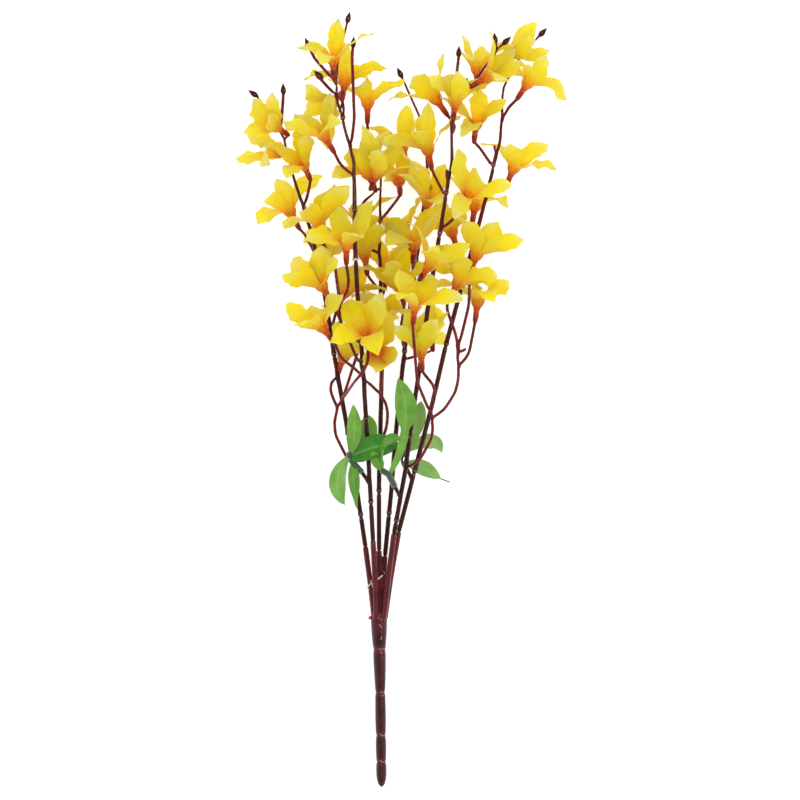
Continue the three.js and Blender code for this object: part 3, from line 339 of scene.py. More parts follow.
def handle_finish():
    material, tree, shader = new_finish(
        "handle_plastic", Coat_Weight=0.22, Coat_Roughness=0.1, Specular_IOR_Level=0.25)
    place = object_place(tree)
    rub, flash_and_glint = number_on(tree, "rub"), number_on(tree, "flash_and_glint")
    finger = spread(tree, split(tree, place)[1], ROD_COLOURED_TO, FINGERS_COLOURED_FROM)
    light = mixed(tree, finger, "4A171C", "6C1822")
    shade = mixed(tree, finger, "2A0C11", "420E14")
    worn = mixed(tree, rub, tinted(tree, light, shade, place, scale=70.0, amount=0.8), "76262A")
    # Scrap colours: pink glue low, pale flash threads high, and at the flecks' tone a pale pink painted
    # highlight.
    scraps_and_glints = ramp(tree, flash_and_glint, [(0.0, "D02A50"), (0.6, "D02A50"), (0.75, "B87E82"), (0.9, "DCD0C8")])
    littered_and_glinted = mixed(tree, reckoned(tree, "GREATER_THAN", flash_and_glint, 0.3), worn, scraps_and_glints)
    feed(tree, shader.inputs["Base Color"], littered_and_glinted)
    grain = grained(tree, place, scale=330.0)
    feed(tree, shader.inputs["Roughness"], spread(tree, grain, 0.3, 0.7, 0.18, 0.42))
    scuffs = reckoned(tree, "MULTIPLY_ADD", rub, 5.0, 1.0)
    bumped(tree, shader, reckoned(tree, "MULTIPLY", grain, scuffs), strength=0.3, depth=0.2 * MM)
    return material


HANDLE_PLASTIC = handle_finish()
print("made", HANDLE_PLASTIC.name)

# %% [markdown]
# Leaf cloth is green with veins pressed into it: a midrib and side veins that slant forwards. The veins are
# drawn from the leaf's UV map, and raise the surface as well as tint it paler; the pale line of the midrib is
# also a painted highlight along its fold. A number on each leaf says how deep its green is. The sleeves are
# in the same piece, so their glossy dark plastic is mixed in by another.

# %% Leaf cloth
def leaf_finish():
    material, tree, shader = new_finish(
        "leaf_cloth", Sheen_Weight=0.1, Coat_Roughness=0.06, Specular_IOR_Level=0.3)
    place = object_place(tree)
    deep, sleeve = number_on(tree, "deep"), number_on(tree, "sleeve")
    across, along, _ = split(tree, add(tree, "ShaderNodeUVMap", uv_map="leaf").outputs[0])
    aside = reckoned(tree, "ABSOLUTE", reckoned(tree, "SUBTRACT", across, 0.5))
    slant = reckoned(tree, "MULTIPLY_ADD", aside, -0.55, along)
    wave = reckoned(tree, "SINE", reckoned(tree, "MULTIPLY", slant, 52.0))
    side_veins = spread(tree, wave, 0.8, 1.0)
    rib = spread(tree, aside, 0.02, 0.07, 1.0, 0.0)
    light = ramp(tree, deep, [(0.0, "93BE6C"), (0.3, "7BAE44"), (0.6, "589C2C"), (1.0, "338A22")])
    shade = ramp(tree, deep, [(0.0, "7FAE52"), (0.3, "5E962E"), (0.6, "3E8424"), (1.0, "236E1A")])
    tint = tinted(tree, light, shade, place, scale=80.0, amount=0.9)
    # Pale veins; the stronger pale line of the midrib is also a painted highlight along the leaf's fold.
    vein_tint_and_rib_highlight = reckoned(tree, "MAXIMUM", reckoned(tree, "MULTIPLY", side_veins, 0.06),
                     reckoned(tree, "MULTIPLY", rib, 0.2))
    veined = mixed(tree, vein_tint_and_rib_highlight, tint, "B4DC84")
    feed(tree, shader.inputs["Base Color"], mixed(tree, sleeve, veined, "30493E"))
    feed(tree, shader.inputs["Roughness"], spread(tree, sleeve, 0.0, 1.0, 0.6, 0.22))
    feed(tree, shader.inputs["Coat Weight"], sleeve)
    veins = reckoned(tree, "MAXIMUM", side_veins, rib)
    height = reckoned(tree, "MULTIPLY_ADD", grained(tree, place, scale=1500.0), 0.3, veins)
    bumped(tree, shader, height, strength=0.4, depth=0.2 * MM)
    return material


LEAF_CLOTH = leaf_finish()
print("made", LEAF_CLOTH.name)

# %% [markdown]
# ## Florets
#
# A floret is one piece of cloth: a funnel that opens into four petals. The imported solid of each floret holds
# the pose of its petals in a few points, so those are read first. Its foot and the tip of its pistil are the
# only two points where eight edges meet. From the foot the edges lead to the ring round the foot, on to the
# rim, and from there into each petal: a row of three points, another row, and the tip.


# %% Reading a floret's pose
def hub_points(shape):
    hubs = []
    for v in shape.verts:
        lengths = [e.calc_length() for e in v.link_edges]
        if len(lengths) == 8 and max(lengths) - min(lengths) < 0.1 * MM:
            hubs.append((sum(lengths), v))
    hubs.sort(key=lambda hub: hub[0])
    return [v for _, v in hubs]


def neighbours(points):
    return {e.other_vert(v) for v in points for e in v.link_edges} - set(points)


def connected(points):
    groups = []
    left = set(points)
    while left:
        group = {left.pop()}
        front = set(group)
        while front:
            front = neighbours(front) & left
            group |= front
            left -= front
        groups.append(group)
    return groups


def middle_of(points):
    points = list(points)
    return sum((v.co for v in points), Vector()) / len(points)


def row_of(points, centre_line, side):
    """Left, middle and right of a row: the middle of the cloth between its outer and inner points."""
    ordered = sorted(points, key=lambda v: (v.co - centre_line).dot(side))
    return [middle_of(ordered[i : i + 2]) for i in (0, 2, 4)]


def read_floret(node):
    shape = merged_copy(node)
    foot_hub, pistil_hub = hub_points(shape)
    foot = foot_hub.co.copy()
    axis = (pistil_hub.co - foot).normalized()
    ring = neighbours([foot_hub, pistil_hub])
    core = ring | {foot_hub, pistil_hub}
    rim = neighbours(ring) - core
    petals = []
    for group in connected(set(shape.verts) - core - rim):
        touching = neighbours(group) & rim
        by_height = sorted(touching, key=lambda v: (v.co - foot).dot(axis))
        base = middle_of(by_height[-2:])
        out = base - foot
        out = (out - axis * out.dot(axis)).normalized()
        side = axis.cross(out)
        first = neighbours(rim) & group
        second = (neighbours(first) & group) - first
        tip = group - first - second
        petals.append({
            "out": out,
            "rows": [row_of(points, foot, side) for points in (touching, first, second)],
            "tip": middle_of(tip),
        })
    shape.free()
    petals.sort(key=lambda petal: math.atan2(petal["out"].y, petal["out"].x))
    return {"foot": foot, "axis": axis, "petals": petals}


FLORET_NODES = sorted(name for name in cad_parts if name.startswith("floret"))
florets = {name: read_floret(name) for name in FLORET_NODES}
counts = {len(f["petals"]) for f in florets.values()}
print("florets:", len(florets), "petals each:", counts)

# %% [markdown]
# A petal is made from a flat grid: its short side goes across the petal, its long side from the foot of the
# funnel to the tip. Each grid point is then carried to its place. The line through the middle of the read
# rows gives the bend, and the line from left to right gives the twist. On top of that come the cloth's own
# habits, different for every petal: how pointed its tip is, and how its edges ruffle and curl. Petals in the
# crowded middle of the bunch are fuller than those at its open top.

# %% The shape of one petal
ACROSS = 12
FUNNEL_ROWS = 6
PETAL_ROWS = 20
FUNNEL_FOOT_RADIUS = 1.7 * MM
FUNNEL_FOOT_HEIGHT = 0.7 * MM
BELL = 2.1
CLOTH = 0.28 * MM
HALF_WIDTH = 7.2 * MM
RIM_HALF_WIDTH = 3.5 * MM
WIDEST = 0.42
ROW_SHARES = (0.0, 0.4, 0.76, 1.0)
CROWD_EDGE = 155 * MM
CROWD_FADE = 45 * MM
OPEN_FULL = 0.94
CROWD_FULL = 1.16
UNEVEN_WIDTH = 0.3
FULL_TURN = 6.28
BOW_FROM = 0.3
TWIST_FROM = 0.3
CURL_FROM = 0.7
FOLD_WIDTH = 0.3
RUFFLED_AT = 0.35
CRUMPLED_AT = 0.15
TIP_ROUNDNESS = 2.2
TIP_CROWDING = 1.25
A_LITTLE_ON = 0.02


def through(shares, values, share):
    """The smooth curve through some values, at a share of the way."""
    total = values[0] * 0
    for i, value in enumerate(values):
        weight = 1.0
        for j, other in enumerate(shares[: len(values)]):
            if j != i:
                weight *= (share - other) / (shares[i] - other)
        total = total + value * weight
    return total


def fullness(foot):
    crowd = min(1.0, max(0.0, (CROWD_EDGE - foot.y) / CROWD_FADE))
    return OPEN_FULL + (CROWD_FULL - OPEN_FULL) * crowd


def habits_of(petal, foot, rng):
    rows = petal["rows"]
    petal["middles"] = [row[1] for row in rows] + [petal["tip"]]
    petal["edges"] = [(row[2] - row[0]).normalized() for row in rows]
    petal["bows"] = [(row[0] + row[2]) / 2 - row[1] for row in rows] + [Vector()]
    petal["pointed"] = rng.uniform(0.6, 1.2)
    petal["ruffle"] = rng.uniform(0.4, 1.3) * MM
    petal["waves"] = rng.uniform(1.0, 2.6)
    petal["phase"] = (rng.uniform(0, FULL_TURN), rng.uniform(0, FULL_TURN))
    petal["fold"] = rng.choice((0.3, 0.4, 0.6, 1.5)) * MM
    petal["curl"] = rng.choice((-1.0, 0.0, 0.8, 1.6, 3.4)) * MM
    petal["twist"] = rng.uniform(-0.5, 0.5)
    petal["wide"] = rng.uniform(0.94, 1.1) * HALF_WIDTH
    petal["lobes"] = [(rng.uniform(0.03, 0.08), rng.uniform(0.8, 2.2), rng.uniform(0, FULL_TURN))
                      for _ in range(2)]
    petal["nicks"] = [(rng.uniform(0.01, 0.03), rng.uniform(4, 7), rng.uniform(0, FULL_TURN))
                      for _ in range(2)]
    petal["roll"] = rng.uniform(-0.6, 1.4) * MM
    petal["crumple"] = rng.uniform(0.6, 1.8) * MM
    petal["wide"] *= fullness(foot)


def half_width(petal, across, share):
    rise = math.sin(math.pi / 2 * min(1.0, share / WIDEST))
    width = RIM_HALF_WIDTH + (petal["wide"] - RIM_HALF_WIDTH) * rise
    if share > WIDEST:
        gone = (share - WIDEST) / (1 - WIDEST)
        width *= max(0.0, 1 - gone**TIP_ROUNDNESS) ** petal["pointed"]
    edge = 0 if across > 0 else 1
    for deep, waves, phase in (petal["lobes"][edge], petal["nicks"][edge]):
        width *= 1 + deep * rise * math.sin(phase + share * waves * 2 * math.pi)
    uneven = noise.noise(Vector((share * 5.5, edge * 9, petal["phase"][0] * 5)))
    return width * (1 + UNEVEN_WIDTH * rise * uneven)


def petal_point(petal, across, share):
    middle = through(ROW_SHARES, petal["middles"], share)
    edge = through(ROW_SHARES, petal["edges"], share).normalized()
    bow = through(ROW_SHARES, petal["bows"], share)
    ahead = through(ROW_SHARES, petal["middles"], share + A_LITTLE_ON) - middle
    normal = edge.cross(ahead).normalized()
    turn = petal["twist"] * max(0.0, share - TWIST_FROM) / (1 - TWIST_FROM)
    edge, normal = (edge * math.cos(turn) + normal * math.sin(turn),
                    normal * math.cos(turn) - edge * math.sin(turn))
    width = half_width(petal, across, share)
    part = width / HALF_WIDTH if share > BOW_FROM else 1.0
    bow = bow - normal * (petal["roll"] * math.sin(math.pi * min(1.0, share * 1.1)))
    point = middle + edge * (across * width) + bow * (across * across * part)
    grown = min(1.0, share / RUFFLED_AT)
    phase = petal["phase"][0] if across > 0 else petal["phase"][1]
    wave = math.sin(phase + share * petal["waves"] * 2 * math.pi)
    point += normal * (petal["ruffle"] * wave * across * across * grown)
    crease = math.exp(-((across / FOLD_WIDTH) ** 2)) * math.sin(math.pi * min(1.0, share * 1.05))
    point -= normal * (petal["fold"] * crease * grown)
    point += normal * (petal["curl"] * (max(0.0, share - CURL_FROM) / (1 - CURL_FROM)) ** 2)
    crumple = noise.noise(Vector((share * 4.5, across * 1.5, petal["phase"][0] * 7)))
    point += normal * (petal["crumple"] * crumple * min(1.0, share / CRUMPLED_AT))
    return point


def funnel_point(floret, petal, across, rise):
    side = floret["axis"].cross(petal["out"])
    turn = across * math.pi / 4
    out = petal["out"] * math.cos(turn) + side * math.sin(turn)
    foot = floret["foot"] + floret["axis"] * FUNNEL_FOOT_HEIGHT + out * FUNNEL_FOOT_RADIUS
    reach = petal_point(petal, across, 0.0) - foot
    upwards = floret["axis"] * reach.dot(floret["axis"])
    flared = 1 - max(0.0, 1 - rise) ** BELL
    return foot + upwards * rise + (reach - upwards) * flared


def grid_place(floret, petal, across, along):
    row = along * (FUNNEL_ROWS + PETAL_ROWS)
    if row <= FUNNEL_ROWS + 1e-6:
        return funnel_point(floret, petal, across, row / FUNNEL_ROWS)
    share = (row - FUNNEL_ROWS) / PETAL_ROWS
    share = 1 - (1 - share) ** TIP_CROWDING
    return petal_point(petal, across, min(1.0, share))


# %% [markdown]
# Four such grids make a floret. Where two funnels' edges meet, their points fall together and are merged, and
# above the rim the petals stay apart. Inside stands a slim pistil, turned on a lathe: a line of points spun
# round the floret's axis.

# %% Lathe work
def lathe(shape, profile, foot, axis, steps):
    """Spins [height, radius] points round an axis, closes the ends, and returns the new points."""
    across = axis.orthogonal().normalized()
    line = [shape.verts.new(foot + axis * height + across * radius) for height, radius in profile]
    edges = [shape.edges.new(pair) for pair in zip(line, line[1:])]
    before = set(shape.faces)
    bmesh.ops.spin(shape, geom=line + edges, cent=foot, axis=axis, angle=2 * math.pi, steps=steps,
                   use_merge=True)
    faces = [f for f in shape.faces if f not in before]
    points = list({v for f in faces for v in f.verts})
    bmesh.ops.remove_doubles(shape, verts=points, dist=FINE_WELD)
    faces = [f for f in shape.faces if f not in before]
    bmesh.ops.recalc_face_normals(shape, faces=faces)
    return {v for f in faces for v in f.verts}


def in_mm(profile):
    return [(height * MM, radius * MM) for height, radius in profile]


# %% The fifty florets
PISTIL = in_mm([(0.2, 0.0), (0.25, 0.9), (1.0, 0.7), (4.6, 0.4), (5.6, 0.45), (6.3, 0.75), (6.9, 0.6),
                (7.2, 0.0)])
PISTIL_STEPS = 10
PISTIL_DYE = (0.5, 0.2)
FIRST_FLORET_SEED = 11


def give_wall(cloth, thickness):
    wall = cloth.modifiers.new("cloth", "SOLIDIFY")
    wall.thickness = thickness
    wall.offset = 0


def make_floret(name, floret, rng):
    shape = bmesh.new()
    uv = shape.loops.layers.uv.new("petal")
    for petal in floret["petals"]:
        habits_of(petal, floret["foot"], rng)
        grid = bmesh.ops.create_grid(shape, x_segments=ACROSS, y_segments=FUNNEL_ROWS + PETAL_ROWS, size=1,
                                     calc_uvs=True)
        for v in grid["verts"]:
            v.co = grid_place(floret, petal, v.co.x, (v.co.y + 1) / 2)
            v.co.z = max(v.co.z, CLOTH / 2)
    bmesh.ops.remove_doubles(shape, verts=shape.verts, dist=WELD)
    bmesh.ops.dissolve_degenerate(shape, edges=shape.edges, dist=SLIVER)
    for v in lathe(shape, PISTIL, floret["foot"], floret["axis"], PISTIL_STEPS):
        for loop in v.link_loops:
            loop[uv].uv = PISTIL_DYE
    give_wall(piece(f"{name}_cloth", shape, name, PETAL_CLOTH), CLOTH)


for i, (name, floret) in enumerate(florets.items()):
    make_floret(name, floret, random.Random(FIRST_FLORET_SEED + i))
sample = bpy.data.objects["floret_01_cloth"].data
print("a floret has", len(sample.vertices), "points and", len(sample.polygons), "faces before its wall")

# %% [markdown]
# ## Stems
#
# A stem and its twigs are one moulding, so its joints are rounded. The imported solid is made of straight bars,
# and a voxel remesh followed by a little smoothing turns them into one rounded skin.
#
# The bars still meet at small angles, where the real twigs run in arcs. Strong smoothing takes the angles
# out, but it also shrinks a twig to a thread along its own middle. So the skin is smoothed like that only on
# the side, to see how far each slice of a twig has moved as a whole, and the unshrunk skin is moved by the
# same. A point's move straight in or out is shrinking, so only its move along the skin counts. Round a slice
# that is half of the slice's own move. The part along the twig is left out, or its ends would draw in.


# %% Rounding a moulding
ROUND_PASSES = 6
ARC_PASSES = 420
SLICE = 1.2 * MM
MOST_SHIFT = 0.9 * MM


def evaluated_points(made):
    evaluated = made.evaluated_get(bpy.context.evaluated_depsgraph_get())
    mesh = evaluated.to_mesh()
    points, normals = np.empty(len(mesh.vertices) * 3), np.empty(len(mesh.vertices) * 3)
    mesh.vertices.foreach_get("co", points)
    mesh.vertex_normals.foreach_get("vector", normals)
    edges = np.empty(len(mesh.edges) * 2, dtype=int)
    mesh.edges.foreach_get("vertices", edges)
    evaluated.to_mesh_clear()
    return points.reshape(-1, 3), normals.reshape(-1, 3), edges.reshape(-1, 2)


def way_of_thread(points, edges):
    """The direction in which the thread runs at each point: the main direction of the edges there."""
    steps = points[edges[:, 1]] - points[edges[:, 0]]
    pulls = np.zeros((len(points), 3, 3))
    for i in range(3):
        for j in range(3):
            product = steps[:, i] * steps[:, j]
            pulls[:, i, j] = (np.bincount(edges[:, 0], product, len(points))
                              + np.bincount(edges[:, 1], product, len(points)))
    return np.linalg.eigh(pulls)[1][:, :, 2]


def arc_shift(made):
    smooth = made.modifiers.new("thread", "SMOOTH")
    smooth.factor = 0.5
    smooth.iterations = ROUND_PASSES
    skin, normals, edges = evaluated_points(made)
    smooth.iterations = ARC_PASSES
    thread, _, _ = evaluated_points(made)
    made.modifiers.remove(smooth)
    move = thread - skin
    move -= normals * np.sum(move * normals, axis=1, keepdims=True)
    shift = np.zeros_like(skin)
    for start in (0.0, 0.5):
        slices = np.unique(np.floor(thread / SLICE + start), axis=0, return_inverse=True)[1].ravel()
        sizes = np.bincount(slices)
        for i in range(3):
            shift[:, i] += (np.bincount(slices, move[:, i]) / sizes)[slices]
    way = way_of_thread(thread, edges)
    shift -= way * np.sum(shift * way, axis=1, keepdims=True)
    size = np.linalg.norm(shift, axis=1, keepdims=True)
    return shift * np.minimum(1.0, MOST_SHIFT / np.maximum(size, 1e-9))


def rounded(node, voxel, push=0.0, arcs=False):
    made = put_shape(f"{node}_rough", merged_copy(node))
    remesh = made.modifiers.new("skin", "REMESH")
    remesh.mode = "VOXEL"
    remesh.voxel_size = voxel
    remesh.adaptivity = 0
    shift = arc_shift(made) if arcs else None
    evaluated = made.evaluated_get(bpy.context.evaluated_depsgraph_get())
    skin = bmesh.new()
    skin.from_mesh(evaluated.to_mesh())
    evaluated.to_mesh_clear()
    bpy.data.objects.remove(made)
    if arcs:
        for v, by in zip(skin.verts, shift):
            v.co += Vector(by)
    for _ in range(ROUND_PASSES):
        bmesh.ops.smooth_vert(skin, verts=skin.verts, factor=0.5, use_axis_x=True, use_axis_y=True,
                              use_axis_z=True)
    skin.normal_update()
    for v in skin.verts:
        v.co += v.normal * push
    return skin


# %% [markdown]
# Each calyx is turned on the lathe and then its mouth is drawn up into four short points that hug the
# funnel. A bud is turned too, and pinched along four sides so that it shows the edges of its scales.

# %% Calyxes and buds
CALYX = in_mm([(-10.2, 0.0), (-10.1, 0.9), (-9.6, 1.25), (-8.6, 1.65), (-7.0, 1.95), (-4.4, 2.12),
               (-1.6, 2.1), (-0.4, 2.2), (0.6, 2.66), (0.55, 2.44), (-0.35, 1.95), (-0.5, 0.0)])
CALYX_FOOT = -10.2 * MM
CALYX_RED_LENGTH = 10.4 * MM
CALYX_LEAST_RED = 0.05
CALYX_LIP = 0.1 * MM
CALYX_POINT = 0.9 * MM
BUD = in_mm([(-0.6, 0.0), (-0.5, 0.8), (0.4, 1.1), (1.5, 1.85), (2.8, 2.2), (4.2, 2.0), (5.8, 1.35),
             (7.2, 0.65), (8.2, 0.22), (8.6, 0.0)])
BUD_LENGTH = 8.5 * MM
BUD_PINCH = 0.1
BUD_PINCH_FROM = 3 * MM
TURNED_STEPS = 16
SCALES = 4


def angle_round(axis, reach):
    across = axis.orthogonal().normalized()
    return math.atan2(reach.dot(axis.cross(across)), reach.dot(across))


def add_calyx(shape, foot, axis, layer, turn):
    for v in lathe(shape, CALYX, foot, axis, TURNED_STEPS):
        reach = v.co - foot
        height = reach.dot(axis)
        if height > CALYX_LIP:
            v.co += axis * (CALYX_POINT * max(0.0, math.cos(SCALES * (angle_round(axis, reach) - turn))))
        red = min(1.0, max(0.0, (height - CALYX_FOOT) / CALYX_RED_LENGTH))
        v[layer] = CALYX_LEAST_RED + (1 - CALYX_LEAST_RED) * red


def add_bud(shape, tip, direction, layer):
    foot = tip - direction * BUD_LENGTH
    for v in lathe(shape, BUD, foot, direction, TURNED_STEPS):
        reach = v.co - foot
        height = reach.dot(direction)
        out = reach - direction * height
        pinched = math.cos(SCALES * angle_round(direction, out))
        v.co += out * (BUD_PINCH * pinched * min(1.0, max(0.0, height / BUD_PINCH_FROM)))
        v[layer] = 1.0


# %% [markdown]
# The pegs that carry the leaf sleeves are stout at the stem and taper towards the sleeve.


# %% Pegs
PEGS = {
    "stem_2": ((369, 484), (362, 472.5, 53)),
    "stem_5": ((401, 498), (395, 487, 52)),
    "stem_6": ((413, 480), (407, 469, 27)),
}
PEG_STEPS = 12


def add_peg(shape, root, end):
    root = Vector(root)
    length = (end - root).length / MM
    profile = [(0.2, 0.0), (0.3, 1.6), (2.0, 1.65), (0.5 * length, 1.35), (length - 0.4, 1.45),
               (length, 1.1), (length + 0.1, 0.0)]
    lathe(shape, in_mm(profile), root, (end - root).normalized(), PEG_STEPS)


# %% [markdown]
# Which calyx belongs to which stem follows from where the stem's solid ends: its points reach to the floret's
# foot. The buds' points and the joints are read off the drawing, and the way each bud looks comes from the
# narrow neck behind it. A route is the line along the middle of a stem, which tells stem from twig.

# %% Where buds and joints are
BUD_POINTS = {
    "stem_1": [(248, 90, 58), (283, 83, 62)],
    "stem_2": [(350, 12, 80), (305, 38, 84), (314, 71, 84), (354, 37, 98)],
    "stem_4": [(397, 67, 39)],
    "stem_5": [(511, 37, 92), (459, 46, 80), (494, 33, 94)],
    "stem_6": [(547, 28, 65)],
}
JOINTS = {
    "stem_1": [(322, 285), (303, 210), (288, 152), (334, 355), (348, 434), (360, 516)],
    "stem_2": [(355, 259), (353, 211), (365, 420), (341, 120), (336, 84), (362, 360), (370, 503)],
    "stem_3": [(381, 300), (379, 222), (382, 172), (379, 492)],
    "stem_4": [(419, 262), (404, 352), (425, 200), (389, 514)],
    "stem_5": [(440, 235), (446, 194), (429, 300), (411, 438), (451, 118), (397, 521)],
    "stem_6": [(475, 245), (493, 166), (499, 103), (446, 345), (416, 472)],
}
COLLARS = {"stem_2": [(355.5, 259.5)]}
ROUTE_STEPS = 400
COLLAR = in_mm([(-0.8, 0.0), (-0.7, 2.3), (0.7, 2.45), (0.8, 0.0)])
ROUTES = {
    "stem_1": [
        (365.5, 548, 26), (359, 505, 31), (351, 450, 36), (342, 400, 40), (334, 355, 43), (327, 310, 45),
        (319, 262, 46), (305, 212, 48), (293, 178, 52), (289, 152, 56), (280, 131, 58), (268, 110, 58),
        (257, 96, 58), (248, 90, 58),
    ],
    "stem_2": [
        (373, 541, 36), (371, 505, 43), (368.5, 460, 52), (365.5, 410, 61), (362.5, 360, 68),
        (358.5, 310, 74), (355.5, 260, 79), (354, 225, 80), (351, 200, 80), (354.5, 165, 79),
        (349, 142, 78), (341, 120, 77), (336.5, 96, 77), (336, 74, 77), (341, 48, 78), (350, 12, 80),
    ],
    "stem_3": [
        (379, 551, 22), (378.5, 505, 25), (380, 450, 28), (381, 400, 32), (382, 350, 37), (381, 300, 42),
        (381, 250, 47), (379, 222, 50), (381, 190, 52), (382, 172, 53), (377, 152, 54), (369, 140, 55),
    ],
    "stem_4": [
        (385, 556, 19), (389.5, 510, 19), (394, 460, 20), (397, 420, 21), (401, 380, 23), (406, 340, 25),
        (411, 300, 27), (415, 265, 29), (420, 235, 31), (425, 200, 33), (428, 165, 35), (425, 130, 37),
        (415, 104, 38), (397, 67, 39),
    ],
    "stem_5": [
        (394, 534, 38), (400, 500, 44), (407, 460, 52), (412, 420, 59), (417, 380, 66), (424, 340, 72),
        (429, 300, 78), (434, 265, 83), (440, 235, 86), (443, 208, 87), (448, 190, 88), (452, 165, 88),
        (450, 140, 87), (451, 118, 87), (464, 96, 88), (480, 75, 90), (496, 52, 91), (511, 37, 92),
    ],
    "stem_6": [
        (398.5, 533, 28), (406, 505, 31), (415, 470, 34), (424, 435, 37), (436, 390, 40), (446, 345, 43),
        (456, 308, 46), (465, 275, 48), (475, 245, 50), (481, 215, 52), (487, 195, 54), (493, 168, 56),
        (500, 145, 58), (499, 120, 60), (499, 103, 61), (505, 83, 62), (515, 64, 63), (528, 48, 64),
        (547, 28, 65),
    ],
}


def points_between(points, place, least, most):
    away = np.linalg.norm(points - np.array(place), axis=1)
    return points[(away > least) & (away < most)]


def away_from_route(route, points):
    best = np.full(len(points), np.inf)
    for a, b in zip(route, route[1:]):
        share = np.clip((points - a) @ (b - a) / ((b - a) @ (b - a)), 0, 1)
        best = np.minimum(best, np.linalg.norm(points - a - share[:, None] * (b - a), axis=1))
    return best


def joint_on(route, column, row):
    """A joint's centre and the way the stem runs there, from its place on the drawing."""
    steps = np.linspace(0, len(route) - 1, ROUTE_STEPS)
    line = np.stack([np.interp(steps, range(len(route)), route[:, i]) for i in range(3)], axis=1)
    i = np.linalg.norm(line[:, :2] - np.array(at(column, row, 0))[:2], axis=1).argmin()
    way = line[min(i + 2, len(line) - 1)] - line[max(i - 2, 0)]
    return line[i], way / np.linalg.norm(way)


# %% [markdown]
# Now each stem: the rounded skin, then at each joint a small swelling with a pale mark and a narrow neck
# below it, and then its calyxes and buds.

# %% The six stems
STEM_VOXEL = 0.5 * MM
STEM_FATTER = 0.1 * MM
TWIG_FATTER = 0.42 * MM
STEM_RADIUS_MM = 2.4
TWIG_BLEND_MM = 1.2
RED_TOP = 0.65
RED_FROM = -50 * MM
RED_OVER = 300 * MM
JOINT_LENGTH = 3 * MM
JOINT_REACH = 4.5 * MM
SWELLING = 0.34 * MM
SWELLING_PLACE = (0.9 * MM, 1.7 * MM)
NECK = 0.4 * MM
NECK_PLACE = (-1.4 * MM, 1.3 * MM)
MARK = 0.3
MARK_MIDDLE, MARK_HALF = 0.8 * MM, 0.5 * MM
CALYX_GAP = 1.5 * MM
CALYX_TURN = 0.7
BUD_NECK = (7.4 * MM, 9.2 * MM)


def hump(place, middle, half):
    """1 at the middle, and falls to 0 at half its width on either side."""
    return max(0.0, 1 - ((place - middle) / half) ** 2)


def make_stem(name):
    skin = rounded(name, STEM_VOXEL, arcs=True)
    calyx = skin.verts.layers.float.new("calyx")
    bud = skin.verts.layers.float.new("bud")
    joint = skin.verts.layers.float.new("joint")
    slim = skin.verts.layers.float.new("slim")
    skin.verts.ensure_lookup_table()
    points = np.array([v.co for v in skin.verts])
    route = np.array([at(*place) for place in ROUTES[name]])
    away = away_from_route(route, points)
    height = np.clip((points[:, 1] - RED_FROM) / RED_OVER, 0, 1)
    twig = np.clip((away / MM - STEM_RADIUS_MM) / TWIG_BLEND_MM, 0, 1)
    for v, share, redder in zip(skin.verts, twig, np.maximum(twig, RED_TOP * height)):
        v.co += v.normal * (STEM_FATTER + (TWIG_FATTER - STEM_FATTER) * share)
        v[slim] = redder
    for column, row in JOINTS[name]:
        centre, way = joint_on(route, column, row)
        reach = points - centre
        along = reach @ way
        near = (np.abs(along) < JOINT_LENGTH) & (np.linalg.norm(reach, axis=1) < JOINT_REACH)
        for i in np.flatnonzero(near):
            v = skin.verts[i]
            swelling, neck = hump(along[i], *SWELLING_PLACE), hump(along[i], *NECK_PLACE)
            v.co += v.normal * (SWELLING * swelling - NECK * neck)
            v[joint] = MARK * max(0.0, 1 - abs(along[i] - MARK_MIDDLE) / MARK_HALF)
    solid = np.array([v.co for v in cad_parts[name].data.vertices])
    for i, floret in enumerate(florets.values()):
        gap = np.linalg.norm(solid - np.array(floret["foot"]), axis=1).min()
        if gap < CALYX_GAP:
            add_calyx(skin, floret["foot"], floret["axis"], calyx, i * CALYX_TURN)
    for column, row in COLLARS.get(name, []):
        centre, way = joint_on(route, column, row)
        for v in lathe(skin, COLLAR, Vector(centre), Vector(way), TURNED_STEPS):
            v[joint] = 1.0
    if name in PEGS:
        (column, row), sleeve = PEGS[name]
        add_peg(skin, joint_on(route, column, row)[0], at(*sleeve))
    for place in BUD_POINTS.get(name, []):
        tip = at(*place)
        neck = points_between(solid, tip, *BUD_NECK)
        direction = (tip - Vector(neck.mean(axis=0))).normalized()
        add_bud(skin, tip, direction, bud)
    return piece(f"{name}_moulding", skin, name, STEM_PLASTIC)


for i in range(1, 7):
    made = make_stem(f"stem_{i}")
    print(made.name, len(made.data.polygons), "faces")

# %% [markdown]
# ## Handle
#
# The handle is a rod that thickens towards its six fingers. It gets the same rounded skin, and its rod is
# then turned true: each point is moved in or out until it stands at the radius that the rod has there. That
# also cuts the four mould rings crisply. Such a cheap moulding is never trimmed clean, so it carries scraps:
# pale threads of flash, a nub where the plastic went in, and a drop of pink glue. Pale flecks on its rings
# are painted highlights. Each is a small spindle from the lathe.

